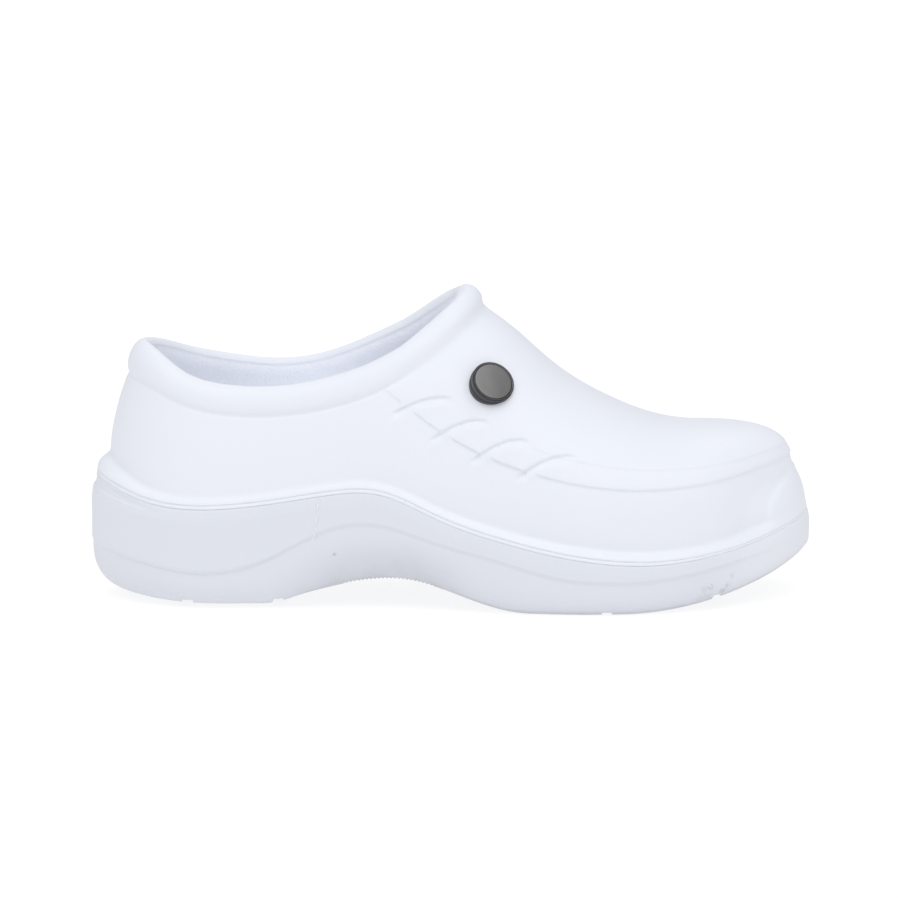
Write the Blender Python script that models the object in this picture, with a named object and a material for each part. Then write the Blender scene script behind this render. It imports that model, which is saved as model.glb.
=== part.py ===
"""Closed-back work clog moulded in foam, right foot, standing on its sole.

The shoe is laid out with X from heel to toe, -Y on the little-toe side and +Z up. Its forms are worked
out from one table of sections along the length. The finished shoe is then moved in plan, so that the
origin lies under the middle of its box, on the floor.
"""

import math
from collections import namedtuple

import bmesh
import bpy
import numpy as np

MM = 0.001

# Length of the seam between upper and sole, columns round the shoe, gap between pieces that touch
LENGTH = 269 * MM
COLUMNS = 80
SEAT_GAP = 0.3 * MM

# Plan outline: both ends are rounded, and the toe swings to the big-toe side
HEEL_ROUND_LENGTH = 52 * MM
HEEL_ROUND_POWER = 2.3
TOE_ROUND_LENGTH = 92 * MM
TOE_ROUND_POWER = 2.6
TOE_SWING = 6 * MM
SWING_START = 0.45

# Upper: wall, ledge over the sole, centre line of the closed form and of the columns' fans
WALL = 3.5 * MM
LEDGE_RIM = 1.2 * MM
LEDGE_RISE = 5.0 * MM
LEDGE_FILLET_DEG = (35, 65)
BELLY_DEPTH = 34 * MM
BELLY_SHARE = 0.12
SPINE_HEEL = 44 * MM
SPINE_TOE = 226 * MM
FAN_HEEL = 50 * MM
FAN_FRONT = 116 * MM
ROWS_OVER_APRON = 7
ROWS_UNDER_APRON = 5

# Collar roll: an upright oval that stands on the wall's top edge
ROLL_OUT = 4.3 * MM
ROLL_INSET = 2.7 * MM
ROLL_RISE = 0.85
ROLL_UPRIGHT = 0.2
ROLL_FIRST_DEG = -50
ROLL_LAST_DEG = 230
ROLL_ROWS = 9

# Raised apron on the vamp, and the bumper that covers the ledge at the toe
APRON_STEP = 0.9 * MM
APRON_BLEND = 1.0 * MM
BUMPER_HEAD_STEP = 1.0 * MM
BUMPER_FOOT_STEP = 4.2 * MM
BUMPER_BLEND = 3.0 * MM
BUMPER_FOOT_STATION = 0.925
BUMPER_HEAD_STATION = 0.975
BUMPER_FOOT_HEIGHT = 31 * MM
BUMPER_HEAD_HEIGHT = 49 * MM

# Sole: crease along its side, arch, toe spring, heel bevel and foot bed
CREASE = 0.9 * MM
SHOULDER_DROP = 2.0 * MM
ARCH_RISE = 11.4 * MM
ARCH_STATION = 0.43
ARCH_REACH = 0.168
ARCH_EASE = 2.5 * MM
TOE_SPRING = 17 * MM
SPRING_START = 0.74
HEEL_BEVEL = 4.0 * MM
BEVEL_END = 0.16
CUP_FLARE = 4.0 * MM

# Tread channels across the sole
CHANNEL_STATIONS = (0.132, 0.258, 0.714, 0.868)
CHANNEL_WIDTH = 4.0 * MM
CHANNEL_DEPTH = 2.0 * MM
CHANNEL_REACH = 140 * MM

# Insole
INSOLE_THICK = 4.0 * MM
INSOLE_INSET = 1.0 * MM
INSOLE_EDGE = 1.2 * MM

# Round badge on the little-toe side of the instep
BADGE_STATION = 0.554
BADGE_HEIGHT = 84.5 * MM
BADGE_SIDES = 32
BADGE_RADIUS = 8.6 * MM
BADGE_THICK = 2.6 * MM
BADGE_BEVEL = 0.6 * MM
BADGE_LIP = 1.9 * MM
BADGE_RECESS = 1.1 * MM
FACE_THICK = 0.9 * MM

# One row for each section of the shoe. Widths and heights are in millimetres.
#   station  share of the length from the heel
#   outer    half width of the seam, little-toe side, before the ends are rounded
#   inner    the same on the big-toe side
#   joint    height of the seam between sole and upper
#   ridge    height of the closed form over the centre line
#   full     power of the section's curve: 2 is an ellipse, less leans the wall in, more is boxier
#   ledge    width of the ledge round the upper's foot
#   belly    height of the widest line over the ledge
#   apron    height of the apron's edge
#   bulge    how far the sole's side stands out from the seam
#   wave     height of the crease along the sole's side
#   tuck     how far the sole's side draws in below the crease
#   bed      height of the foot bed
Section = namedtuple(
    "Section", "station outer inner joint ridge full ledge belly apron bulge wave tuck bed"
)
SECTIONS = (
    Section(0.00, 36.0, 36.0, 48.5, 111.0, 1.50, 4.0, 0.5, 140.0, 2.3, 22.4, 11.0, 30.0),
    Section(0.08, 37.0, 37.0, 41.2, 112.5, 1.55, 4.0, 0.5, 140.0, 1.9, 17.3, 11.0, 27.0),
    Section(0.16, 38.0, 38.0, 38.4, 116.0, 1.65, 4.3, 1.0, 130.0, 1.3, 14.6, 10.5, 25.0),
    Section(0.25, 38.5, 38.0, 40.9, 118.0, 1.75, 4.6, 2.0, 115.0, 1.0, 20.7, 11.0, 24.5),
    Section(0.33, 39.5, 37.0, 44.7, 119.0, 1.80, 5.0, 4.0, 99.0, 0.9, 31.7, 13.0, 24.0),
    Section(0.40, 41.5, 36.5, 46.0, 119.0, 1.78, 5.0, 6.0, 84.8, 0.8, 33.5, 17.0, 23.0),
    Section(0.48, 45.0, 38.5, 38.2, 116.0, 1.75, 5.0, 8.0, 69.0, 0.8, 27.2, 15.0, 21.0),
    Section(0.56, 49.0, 42.5, 29.8, 105.5, 1.85, 5.0, 10.0, 58.2, 0.8, 21.6, 10.0, 18.0),
    Section(0.64, 52.0, 47.0, 24.1, 87.8, 2.05, 5.0, 12.0, 51.4, 0.9, 15.6, 8.0, 15.5),
    Section(0.72, 53.0, 50.0, 20.5, 74.4, 2.25, 5.0, 12.0, 47.6, 1.0, 12.8, 7.5, 14.5),
    Section(0.80, 52.0, 51.0, 20.0, 66.6, 2.50, 4.8, 11.0, 46.9, 1.0, 13.6, 7.5, 15.0),
    Section(0.88, 50.0, 50.5, 23.5, 65.1, 2.80, 4.6, 8.0, 49.0, 1.0, 17.6, 8.0, 17.5),
    Section(0.95, 48.0, 50.0, 28.4, 65.1, 3.10, 4.5, 4.0, 52.4, 1.0, 22.3, 9.5, 21.5),
    Section(1.00, 47.0, 49.5, 31.5, 65.1, 3.20, 4.5, 2.0, 54.5, 1.0, 25.0, 11.0, 25.0),
)

# One row for each place along the collar, from the heel to past the throat, in millimetres
#   outer  height of the groove under the roll, little-toe side
#   inner  the same on the big-toe side
#   roll   half height of the roll's oval
Collar = namedtuple("Collar", "station outer inner roll")
COLLAR = (
    Collar(0.00, 86.0, 86.0, 7.8),
    Collar(0.05, 84.5, 84.5, 7.6),
    Collar(0.12, 77.5, 79.0, 6.6),
    Collar(0.18, 73.2, 76.5, 6.3),
    Collar(0.25, 72.0, 76.0, 6.2),
    Collar(0.33, 75.4, 79.0, 6.2),
    Collar(0.40, 82.0, 84.5, 6.2),
    Collar(0.47, 92.0, 93.0, 6.4),
    Collar(0.52, 102.0, 102.0, 6.9),
    Collar(0.551, 111.0, 111.0, 7.3),
    Collar(0.60, 132.0, 132.0, 7.3),
)

Finish = namedtuple("Finish", "colour roughness")
FINISHES = {
    "upper": Finish((0.86, 0.87, 0.90), 0.55),
    "sole": Finish((0.84, 0.85, 0.88), 0.60),
    "insole": Finish((0.80, 0.81, 0.84), 0.75),
    "badge_rim": Finish((0.05, 0.05, 0.055), 0.40),
    "badge_face": Finish((0.11, 0.11, 0.12), 0.35),
}


class Curve:
    """A smooth curve through one column of a table, read by the place along the shoe."""

    def __init__(self, rows, column, scale=MM):
        self.at = np.array([row.station for row in rows])
        self.value = np.array([getattr(row, column) for row in rows]) * scale
        gap = np.diff(self.at)
        slope = np.diff(self.value) / gap
        count = len(self.at)
        system = np.eye(count)
        right = np.zeros(count)
        for i in range(1, count - 1):
            system[i, i - 1 : i + 2] = gap[i - 1], 2 * (gap[i - 1] + gap[i]), gap[i]
            right[i] = 6 * (slope[i] - slope[i - 1])
        self.bend = np.linalg.solve(system, right)

    def __call__(self, x):
        station = np.clip(np.asarray(x, float) / LENGTH, self.at[0], self.at[-1])
        i = np.clip(np.searchsorted(self.at, station, side="right") - 1, 0, len(self.at) - 2)
        gap = self.at[i + 1] - self.at[i]
        a = (self.at[i + 1] - station) / gap
        b = 1 - a
        curved = ((a**3 - a) * self.bend[i] + (b**3 - b) * self.bend[i + 1]) * gap**2 / 6
        return a * self.value[i] + b * self.value[i + 1] + curved


outer_width = Curve(SECTIONS, "outer")
inner_width = Curve(SECTIONS, "inner")
joint_height = Curve(SECTIONS, "joint")
ridge_height = Curve(SECTIONS, "ridge")
fullness = Curve(SECTIONS, "full", 1)
ledge_width = Curve(SECTIONS, "ledge")
belly_height = Curve(SECTIONS, "belly")
apron_height = Curve(SECTIONS, "apron")
side_bulge = Curve(SECTIONS, "bulge")
wave_height = Curve(SECTIONS, "wave")
tuck_depth = Curve(SECTIONS, "tuck")
bed_height = Curve(SECTIONS, "bed")
outer_groove = Curve(COLLAR, "outer")
inner_groove = Curve(COLLAR, "inner")
roll_half_height = Curve(COLLAR, "roll")


def eased(share):
    """0 to 1 with a soft start and end."""
    share = np.clip(share, 0, 1)
    return share * share * (3 - 2 * share)


def unit(vectors):
    return vectors / np.linalg.norm(vectors, axis=-1, keepdims=True)


def centre_line(x):
    """Sideways place of the shoe's middle, which swings at the toe."""
    share = np.clip((x / LENGTH - SWING_START) / (1 - SWING_START), 0, 1)
    return TOE_SWING * share**2


def on_centre_line(x):
    return np.stack([x, centre_line(x)], axis=-1)


def half_width(x, side):
    """Half width of the seam at x, on the little-toe side (-1) or the big-toe side (1)."""
    width = np.where(side < 0, outer_width(x), inner_width(x))
    heel = np.clip((HEEL_ROUND_LENGTH - x) / HEEL_ROUND_LENGTH, 0, 1)
    toe = np.clip((x - LENGTH + TOE_ROUND_LENGTH) / TOE_ROUND_LENGTH, 0, 1)
    return width * np.sqrt((1 - heel**HEEL_ROUND_POWER) * (1 - toe**TOE_ROUND_POWER))


def edge(turn):
    """Plan point of the seam: turn 0 is the heel and pi the toe, by way of the little-toe side."""
    x = LENGTH / 2 * (1 - np.cos(turn))
    side = np.where(np.sin(turn) >= 0, -1.0, 1.0)
    return np.stack([x, centre_line(x) + side * half_width(x, side)], axis=-1)


def edge_outward(turn):
    """Unit plan direction square to the seam, pointing out."""
    small = 1e-4
    along = edge(turn + small) - edge(turn - small)
    return unit(np.stack([along[..., 1], -along[..., 0]], axis=-1))


def column_turns():
    return np.arange(COLUMNS) * 2 * math.pi / COLUMNS


def reach_to_edge(start, direction):
    """Distance in plan from points inside the seam, along a direction, to the seam."""
    near = np.zeros(len(start))
    far = np.full(len(start), LENGTH)
    for _ in range(40):
        middle = (near + far) / 2
        x, y = (start + direction * middle[:, None]).T
        sideways = y - centre_line(x)
        kept = np.clip(x, 0, LENGTH)
        inside = (kept == x) & (np.abs(sideways) < half_width(kept, np.sign(sideways)))
        near = np.where(inside, middle, near)
        far = np.where(inside, far, middle)
    return near


def closed_form(plan):
    """Points of the upper's closed outer form, for plan points from the centre line to the seam.

    Each section climbs from the ledge's root to its widest line, then over to the ridge.
    """
    spine = on_centre_line(np.clip(plan[:, 0], SPINE_HEEL, SPINE_TOE))
    away = plan - spine
    distance = np.linalg.norm(away, axis=-1)
    middle = distance < 1e-9
    direction = np.where(middle[:, None], (0.0, -1.0), away / np.where(middle, 1, distance)[:, None])
    reach = reach_to_edge(spine, direction)
    share = np.clip(distance / reach, 0, 1)
    edge_x = spine[:, 0] + direction[:, 0] * reach

    width = reach - ledge_width(edge_x)
    root = joint_height(edge_x) + LEDGE_RISE
    widest = root + belly_height(edge_x)
    ridge = ridge_height(spine[:, 0])
    full = fullness(edge_x)
    climb = np.clip(1 - share / (1 - BELLY_SHARE), 0, 1) * math.pi / 2
    drop = np.clip((share - 1 + BELLY_SHARE) / BELLY_SHARE, 0, 1) * (widest - root)
    out = width * np.cos(climb) ** (2 / np.maximum(full, 2)) * np.sqrt(1 - (drop / BELLY_DEPTH) ** 2)
    height = widest - drop + (ridge - widest) * np.sin(climb) ** (2 / full)
    return np.column_stack([spine + direction * out[:, None], height])


def groove_at(points):
    """Height of the groove under the collar roll, on each point's own side of the shoe."""
    x = points[:, 0]
    return np.where(points[:, 1] < centre_line(x), outer_groove(x), inner_groove(x))


def apron_at(points):
    return apron_height(points[:, 0])


def column_rays(turns):
    """Start and end, in plan, of the line that each column of the upper follows."""
    ends = edge(turns)
    return on_centre_line(np.clip(ends[:, 0], FAN_HEEL, FAN_FRONT)), ends


def share_at_height(turns, height_at):
    """How far along each column's line the closed form comes down to a given height."""
    starts, ends = column_rays(turns)
    high = np.zeros(len(turns))
    low = np.ones(len(turns))
    for _ in range(30):
        middle = (high + low) / 2
        points = closed_form(starts + (ends - starts) * middle[:, None])
        above = points[:, 2] > height_at(points)
        high = np.where(above, middle, high)
        low = np.where(above, low, middle)
    return (high + low) / 2


def wall_rows(turns):
    """Rows of the upper's plain outer form, from the ledge's root up to the collar's groove."""
    starts, ends = column_rays(turns)
    groove = share_at_height(turns, groove_at)
    apron = share_at_height(turns, apron_at)
    apron = np.clip(apron, groove + (1 - groove) * 0.25, groove + (1 - groove) * 0.75)
    under = [apron + (1 - apron) * i / ROWS_UNDER_APRON for i in range(ROWS_UNDER_APRON, 0, -1)]
    over = [groove + (apron - groove) * i / ROWS_OVER_APRON for i in range(ROWS_OVER_APRON, -1, -1)]
    lip = apron + APRON_BLEND / np.linalg.norm(ends - starts, axis=-1)
    return [closed_form(starts + (ends - starts) * share[:, None]) for share in under + [lip] + over]


def outward_normals(rows):
    """Outward unit normals of closed rows that climb from the ledge to the collar."""
    grid = np.array(rows)
    around = np.roll(grid, -1, axis=1) - np.roll(grid, 1, axis=1)
    return unit(np.cross(around, np.gradient(grid, axis=0)))


def relief(points):
    """How far the apron and the toe bumper stand out from the plain form."""
    x, z = points[:, 0], points[:, 2]
    apron = APRON_STEP * eased((z - apron_at(points)) / APRON_BLEND + 0.5)
    climb = eased((z - BUMPER_FOOT_HEIGHT) / (BUMPER_HEAD_HEIGHT - BUMPER_FOOT_HEIGHT))
    station = BUMPER_FOOT_STATION + (BUMPER_HEAD_STATION - BUMPER_FOOT_STATION) * climb
    step = BUMPER_FOOT_STEP + (BUMPER_HEAD_STEP - BUMPER_FOOT_STEP) * climb
    forward = eased((x - station * LENGTH) / BUMPER_BLEND)
    under_head = eased((BUMPER_HEAD_HEIGHT - z) / BUMPER_BLEND + 0.5)
    return apron + step * forward * under_head


def collar_roll(groove, normal, climb):
    """Rows of the collar roll, over the top from the outer groove to the inner one."""
    up = unit(climb * (1 - ROLL_UPRIGHT) + np.array([0.0, 0.0, ROLL_UPRIGHT]))
    out = unit(normal - up * np.sum(normal * up, axis=-1, keepdims=True))
    tall = up * roll_half_height(groove[:, 0])[:, None]
    middle = groove + tall * ROLL_RISE - out * ROLL_INSET
    angles = np.radians(np.linspace(ROLL_FIRST_DEG, ROLL_LAST_DEG, ROLL_ROWS))
    return [middle + out * ROLL_OUT * math.cos(a) + tall * math.sin(a) for a in angles]


def upper_rows():
    """Closed rows over the whole skin of the upper's wall. The last is the foot of the inner wall."""
    turns = column_turns()
    rim = edge(turns)
    joint = joint_height(rim[:, 0])
    form = wall_rows(turns)
    normals = outward_normals(form)
    outside = [points + normal * relief(points)[:, None] for points, normal in zip(form, normals)]
    inside = [points - normal * WALL for points, normal in zip(form, normals)]

    foot = [np.column_stack([rim, joint]), np.column_stack([rim, joint + LEDGE_RIM])]
    for angle in np.radians(LEDGE_FILLET_DEG):
        plan = rim + (outside[0][:, :2] - rim) * math.sin(angle)
        rise = LEDGE_RIM + (LEDGE_RISE - LEDGE_RIM) * (1 - math.cos(angle))
        foot.append(np.column_stack([plan, joint + rise]))
    roll = collar_roll(form[-1], normals[-1], unit(form[-1] - form[-2]))
    inner_foot = np.column_stack([inside[0][:, :2], joint])
    return foot + outside + roll + inside[-1:0:-2] + [inner_foot]


def ground_height(x):
    """Height of the sole's underside: flat under heel and ball, with an arch and a toe spring."""
    station = x / LENGTH
    arch = ARCH_RISE * (1 - ((station - ARCH_STATION) / ARCH_REACH) ** 2)
    mix = np.clip(0.5 + 0.5 * arch / ARCH_EASE, 0, 1)
    arch = arch * mix + ARCH_EASE * mix * (1 - mix)
    spring = np.clip((station - SPRING_START) / (1 - SPRING_START), 0, 1)
    bevel = np.clip((BEVEL_END - station) / BEVEL_END, 0, 1)
    return arch + TOE_SPRING * spring**2 + HEEL_BEVEL * bevel**2


def rings(plan, height_of, shares):
    """Rows between the centre line (0) and a plan outline (1), at heights given over the length."""
    spine = on_centre_line(np.clip(edge(column_turns())[:, 0], SPINE_HEEL, SPINE_TOE))
    found = []
    for share in shares:
        ring = spine + (plan - spine) * share
        found.append(np.column_stack([ring, height_of(ring[:, 0])]))
    return found


def bed_outline(inner_foot):
    """Plan outline of the foot bed, inside the cup of the sole."""
    return inner_foot[:, :2] - edge_outward(column_turns()) * CUP_FLARE


def sole_rows(inner_foot):
    """Rows over the sole's skin, from the middle of the underside to the middle of the foot bed."""
    turns = column_turns()
    rim = edge(turns)
    out = edge_outward(turns)
    joint = joint_height(rim[:, 0]) - SEAT_GAP
    bulge = side_bulge(rim[:, 0])
    wave = wave_height(rim[:, 0])
    tuck = tuck_depth(rim[:, 0])

    lower = []
    for angle in np.radians((90, 68, 45, 22, 0)):
        plan = rim + out * (bulge - CREASE - tuck * (1 - math.cos(angle)))[:, None]
        top = wave - CREASE
        height = top - (top - ground_height(plan[:, 0])) * math.sin(angle)
        lower.append(np.column_stack([plan, height]))
    widest = rim + out * bulge[:, None]
    lip = np.column_stack([widest, wave])
    band = np.column_stack([widest, (wave + joint) / 2])
    shoulder = np.column_stack([rim + out * bulge[:, None] * 0.6, joint - SHOULDER_DROP])
    seat = [np.column_stack([rim, joint]), np.column_stack([inner_foot[:, :2], joint])]

    bed = bed_outline(inner_foot)
    side = inner_foot[:, :2] + (bed - inner_foot[:, :2]) * 0.3
    bed_z = bed_height(bed[:, 0])
    cup = np.column_stack([side, bed_z + (joint - bed_z) * 0.4])
    underside = rings(lower[0][:, :2], ground_height, (0.0, 0.35, 0.7))
    floor = rings(bed, bed_height, (1.0, 0.55, 0.0))
    return underside + lower + [lip, band, shoulder] + seat + [cup] + floor


def insole_rows(bed):
    """Rows over the insole, from the middle of its underside to the middle of its top."""
    out = edge_outward(column_turns())
    foot = bed - out * INSOLE_INSET
    top = foot - out * INSOLE_EDGE

    def underside(x):
        return bed_height(x) + SEAT_GAP

    def upside(x):
        return underside(x) + INSOLE_THICK

    side = np.column_stack([foot, upside(foot[:, 0]) - INSOLE_EDGE])
    return rings(foot, underside, (0.0, 0.55, 1.0)) + [side] + rings(top, upside, (1.0, 0.55, 0.0))


def badge_place():
    """Plan point on the little-toe side where the closed form has the badge's height."""
    x = BADGE_STATION * LENGTH
    middle = on_centre_line(np.array([x]))
    reach = np.array([[0.0, -float(half_width(x, -1.0))]])
    high, low = 0.0, 1.0
    for _ in range(40):
        share = (high + low) / 2
        if closed_form(middle + reach * share)[0, 2] > BADGE_HEIGHT:
            high = share
        else:
            low = share
    return (middle + reach * share)[0]


def badge_frame():
    """The badge's place in plan, its point on the form, and its two directions and its normal."""
    place = badge_place()
    small = 0.5 * MM
    steps = np.array([[small, 0], [-small, 0], [0, small], [0, -small]])
    ahead, behind, left, right = closed_form(place + steps)
    along = unit(ahead - behind)
    normal = unit(np.cross(along, left - right))
    return place, closed_form(place[None])[0], along, np.cross(normal, along), normal


def on_form(radius, angles):
    """Points of the upper's form that lie on a circle round the badge, seen along its normal."""
    place, centre, along, across, _ = badge_frame()
    wanted = radius * np.stack([np.cos(angles), np.sin(angles)], axis=-1)
    axes = np.stack([along, across], axis=-1)
    small = 0.5 * MM
    steps = closed_form(place + np.array([[small, 0], [0, small]])) - centre
    back = np.linalg.inv((steps @ axes) / small)
    plan = np.repeat(place[None], len(angles), axis=0)
    for _ in range(12):
        plan = plan + (wanted - (closed_form(plan) - centre) @ axes) @ back
    return closed_form(plan)


def badge_ring(radius, height):
    """A row of the badge: a circle at a height over its flat seat plane."""
    _, centre, along, across, normal = badge_frame()
    angles = np.arange(BADGE_SIDES) * 2 * math.pi / BADGE_SIDES
    flat = np.outer(np.cos(angles), along) + np.outer(np.sin(angles), across)
    return centre + flat * radius + normal * (APRON_STEP + SEAT_GAP + height)


def badge_seat(radius):
    """A row of the badge's underside, which follows the upper."""
    angles = np.arange(BADGE_SIDES) * 2 * math.pi / BADGE_SIDES
    return on_form(radius, angles) + badge_frame()[-1] * (APRON_STEP + SEAT_GAP)


def badge_rim_rows():
    recess = BADGE_RADIUS - BADGE_LIP
    floor = BADGE_THICK - BADGE_RECESS
    return [
        badge_seat(0.0),
        badge_seat(BADGE_RADIUS * 0.5),
        badge_seat(BADGE_RADIUS),
        badge_ring(BADGE_RADIUS, BADGE_THICK - BADGE_BEVEL),
        badge_ring(BADGE_RADIUS - BADGE_BEVEL, BADGE_THICK),
        badge_ring(recess, BADGE_THICK),
        badge_ring(recess, floor),
        badge_ring(0.0, floor),
    ]


def badge_face_rows():
    radius = BADGE_RADIUS - BADGE_LIP - SEAT_GAP
    bottom = BADGE_THICK - BADGE_RECESS + SEAT_GAP
    top = bottom + FACE_THICK
    return [
        badge_ring(0.0, bottom),
        badge_ring(radius, bottom),
        badge_ring(radius, top),
        badge_ring(0.0, top),
    ]


def finish(piece, name):
    """Gives a piece its own surface, shaded smooth."""
    look = FINISHES[name]
    material = bpy.data.materials.new(name)
    material.use_nodes = True
    shader = material.node_tree.nodes["Principled BSDF"]
    shader.inputs["Base Color"].default_value = (*look.colour, 1.0)
    shader.inputs["Roughness"].default_value = look.roughness
    shader.inputs["Metallic"].default_value = 0.0
    piece.data.materials.append(material)
    piece.data.shade_smooth()


def add_piece(name, mesh):
    bmesh.ops.recalc_face_normals(mesh, faces=mesh.faces)
    data = bpy.data.meshes.new(name)
    mesh.to_mesh(data)
    mesh.free()
    piece = bpy.data.objects.new(name, data)
    bpy.context.scene.collection.objects.link(piece)
    return piece


def skin(name, rows, middle, ring=False):
    """A closed piece through rows of points. A ring joins its last row to its first."""
    mesh = bmesh.new()
    loops = [[mesh.verts.new(point - middle) for point in row] for row in rows]
    pairs = list(zip(loops, loops[1:]))
    if ring:
        pairs.append((loops[-1], loops[0]))
    for low, high in pairs:
        for i in range(len(low)):
            after = (i + 1) % len(low)
            mesh.faces.new((low[i], low[after], high[after], high[i]))
    bmesh.ops.remove_doubles(mesh, verts=mesh.verts, dist=0.001 * MM)
    piece = add_piece(name, mesh)
    finish(piece, name)
    return piece


def cut_channels(sole, middle):
    """Cuts the tread channels across the sole."""
    mesh = bmesh.new()
    for station in CHANNEL_STATIONS:
        x = station * LENGTH
        top = float(ground_height(x)) + CHANNEL_DEPTH
        bottom = -CHANNEL_DEPTH
        bar = bmesh.ops.create_cube(mesh, size=1)["verts"]
        bmesh.ops.scale(mesh, verts=bar, vec=(CHANNEL_WIDTH, CHANNEL_REACH, top - bottom))
        bmesh.ops.translate(mesh, verts=bar, vec=np.array([x, 0, (top + bottom) / 2]) - middle)
    cutter = add_piece("channel_cutter", mesh)
    cutter.hide_render = True
    cutter.display_type = "WIRE"
    cut = sole.modifiers.new("channels", "BOOLEAN")
    cut.operation = "DIFFERENCE"
    cut.solver = "EXACT"
    cut.object = cutter


def main():
    for old in list(bpy.data.objects):
        bpy.data.objects.remove(old)
    upper = upper_rows()
    inner_foot = upper[-1]
    sole = sole_rows(inner_foot)
    box = np.concatenate(upper + sole)
    middle = (box.min(axis=0) + box.max(axis=0)) / 2
    middle[2] = 0

    skin("upper", upper, middle, ring=True)
    cut_channels(skin("sole", sole, middle), middle)
    skin("insole", insole_rows(bed_outline(inner_foot)), middle)
    skin("badge_rim", badge_rim_rows(), middle)
    skin("badge_face", badge_face_rows(), middle)


if __name__ == "__main__":
    main()
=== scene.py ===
"""Looks of a moulded work clog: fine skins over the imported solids, their finishes, and a studio stage.

The shoe is worked out with X from heel to toe, -Y on the little-toe side and +Z up, from one table of
sections, and is then moved so that its middle lies over the origin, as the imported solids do.
"""

import math
from collections import namedtuple

import bmesh
import bpy
import numpy as np
from mathutils import Matrix, Vector


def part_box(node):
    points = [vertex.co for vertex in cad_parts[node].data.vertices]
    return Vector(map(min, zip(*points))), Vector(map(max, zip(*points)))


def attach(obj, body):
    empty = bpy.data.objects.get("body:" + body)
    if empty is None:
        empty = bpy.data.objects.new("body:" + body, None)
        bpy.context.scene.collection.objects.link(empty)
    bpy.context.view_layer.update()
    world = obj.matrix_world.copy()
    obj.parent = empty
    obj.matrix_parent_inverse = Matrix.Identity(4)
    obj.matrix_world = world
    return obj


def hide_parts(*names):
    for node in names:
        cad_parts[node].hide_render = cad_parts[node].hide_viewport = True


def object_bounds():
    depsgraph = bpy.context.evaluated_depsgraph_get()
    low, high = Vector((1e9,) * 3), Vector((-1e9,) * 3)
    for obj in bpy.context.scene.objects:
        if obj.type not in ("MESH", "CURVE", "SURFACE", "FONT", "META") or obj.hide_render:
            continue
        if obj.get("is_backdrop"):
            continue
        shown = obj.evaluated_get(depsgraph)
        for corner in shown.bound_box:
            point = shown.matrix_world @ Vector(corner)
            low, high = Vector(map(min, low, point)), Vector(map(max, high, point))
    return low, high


bl_info = {
    "name": "Moulded Work Clog",
    "version": (1, 0, 0),
    "blender": (4, 5, 0),
    "location": "View3D > Sidebar > Clog",
    "description": "Fine skins, finishes and a studio stage for a moulded foam clog",
    "category": "Add Mesh",
}

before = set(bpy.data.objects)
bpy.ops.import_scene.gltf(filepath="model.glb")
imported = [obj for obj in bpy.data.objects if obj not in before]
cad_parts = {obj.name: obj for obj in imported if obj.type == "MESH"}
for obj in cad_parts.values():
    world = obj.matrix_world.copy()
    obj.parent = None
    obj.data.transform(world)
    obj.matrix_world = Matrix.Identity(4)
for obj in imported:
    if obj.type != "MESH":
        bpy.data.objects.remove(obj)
CAD_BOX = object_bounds()

MM = 0.001

# Length of the seam between upper and sole, and the gap between pieces that touch
LENGTH = 269 * MM
SEAT_GAP = 0.3 * MM
JOINT_GAP = 0.1 * MM

# Plan outline: both ends are rounded, and the toe swings to the big-toe side
HEEL_ROUND_LENGTH = 52 * MM
HEEL_ROUND_POWER = 2.3
TOE_ROUND_LENGTH = 92 * MM
TOE_ROUND_POWER = 2.6
TOE_SWING = 6 * MM
SWING_START = 0.45

# Upper: wall, bead and lip over the sole, and the ends of its centre line and of the columns' fans
WALL = 3.5 * MM
FOOT_THICK = 4.6 * MM
LEDGE_RISE = 5.4 * MM
HEEL_LIP = 3.4 * MM
HEEL_LIP_REACH = 12 * MM
LIP_PEAKS = (0.42, 0.7)
BEAD_TALL = 1.1 * MM
BEAD_END = 0.27
BEAD_LAP = math.radians(65)
GROOVE_TALL = 0.55 * MM
GROOVE_END = 0.44
TOE_BEAD = 0.5
TOE_BEAD_PART = (0.72, 0.92)
BELLY_DEPTH = 55 * MM
BELLY_SHARE = 0.12
SPINE = (44 * MM, 226 * MM)
FAN = (50 * MM, 116 * MM)

# Collar roll: an oval on the wall's top edge, more upright and thicker at the throat
ROLL_OUT = 4.3 * MM
ROLL_INSET = 2.7 * MM
ROLL_RISE = 0.85
ROLL_UPRIGHT = (0.2, 0.48)
ROLL_DEGREES = (-56, 230)
ROLL_CLIMB_STEP = 0.05
THROAT_THICK = 0.8 * MM
THROAT_PART = (0.44, 0.55)

# Lining: it starts on the inside of the roll, a small step in, and runs flat down the inner wall
LINING_DEGREES = (133, 140)
LINING_STEP = 0.45 * MM
LINING_PAD = 3.2 * MM
LINING_PAD_END = 0.6

# Toe bumper, which covers the ledge: foot and head of its edge, and how far it stands out there
BUMPER_STATIONS = (0.933, 0.971)
BUMPER_HEIGHTS = (33 * MM, 47 * MM)
BUMPER_STEPS = (5.0 * MM, 1.2 * MM)
BUMPER_LEAN = 2.2
BUMPER_EDGE = 1.8 * MM
BUMPER_EDGE_AHEAD = 0.3
BUMPER_EDGE_STEP = 0.8 * MM
BUMPER_LEAD = 10 * MM
BUMPER_SWELL = 17 * MM
BUMPER_TOP = 49 * MM
BUMPER_BLEND = 3.0 * MM

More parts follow.
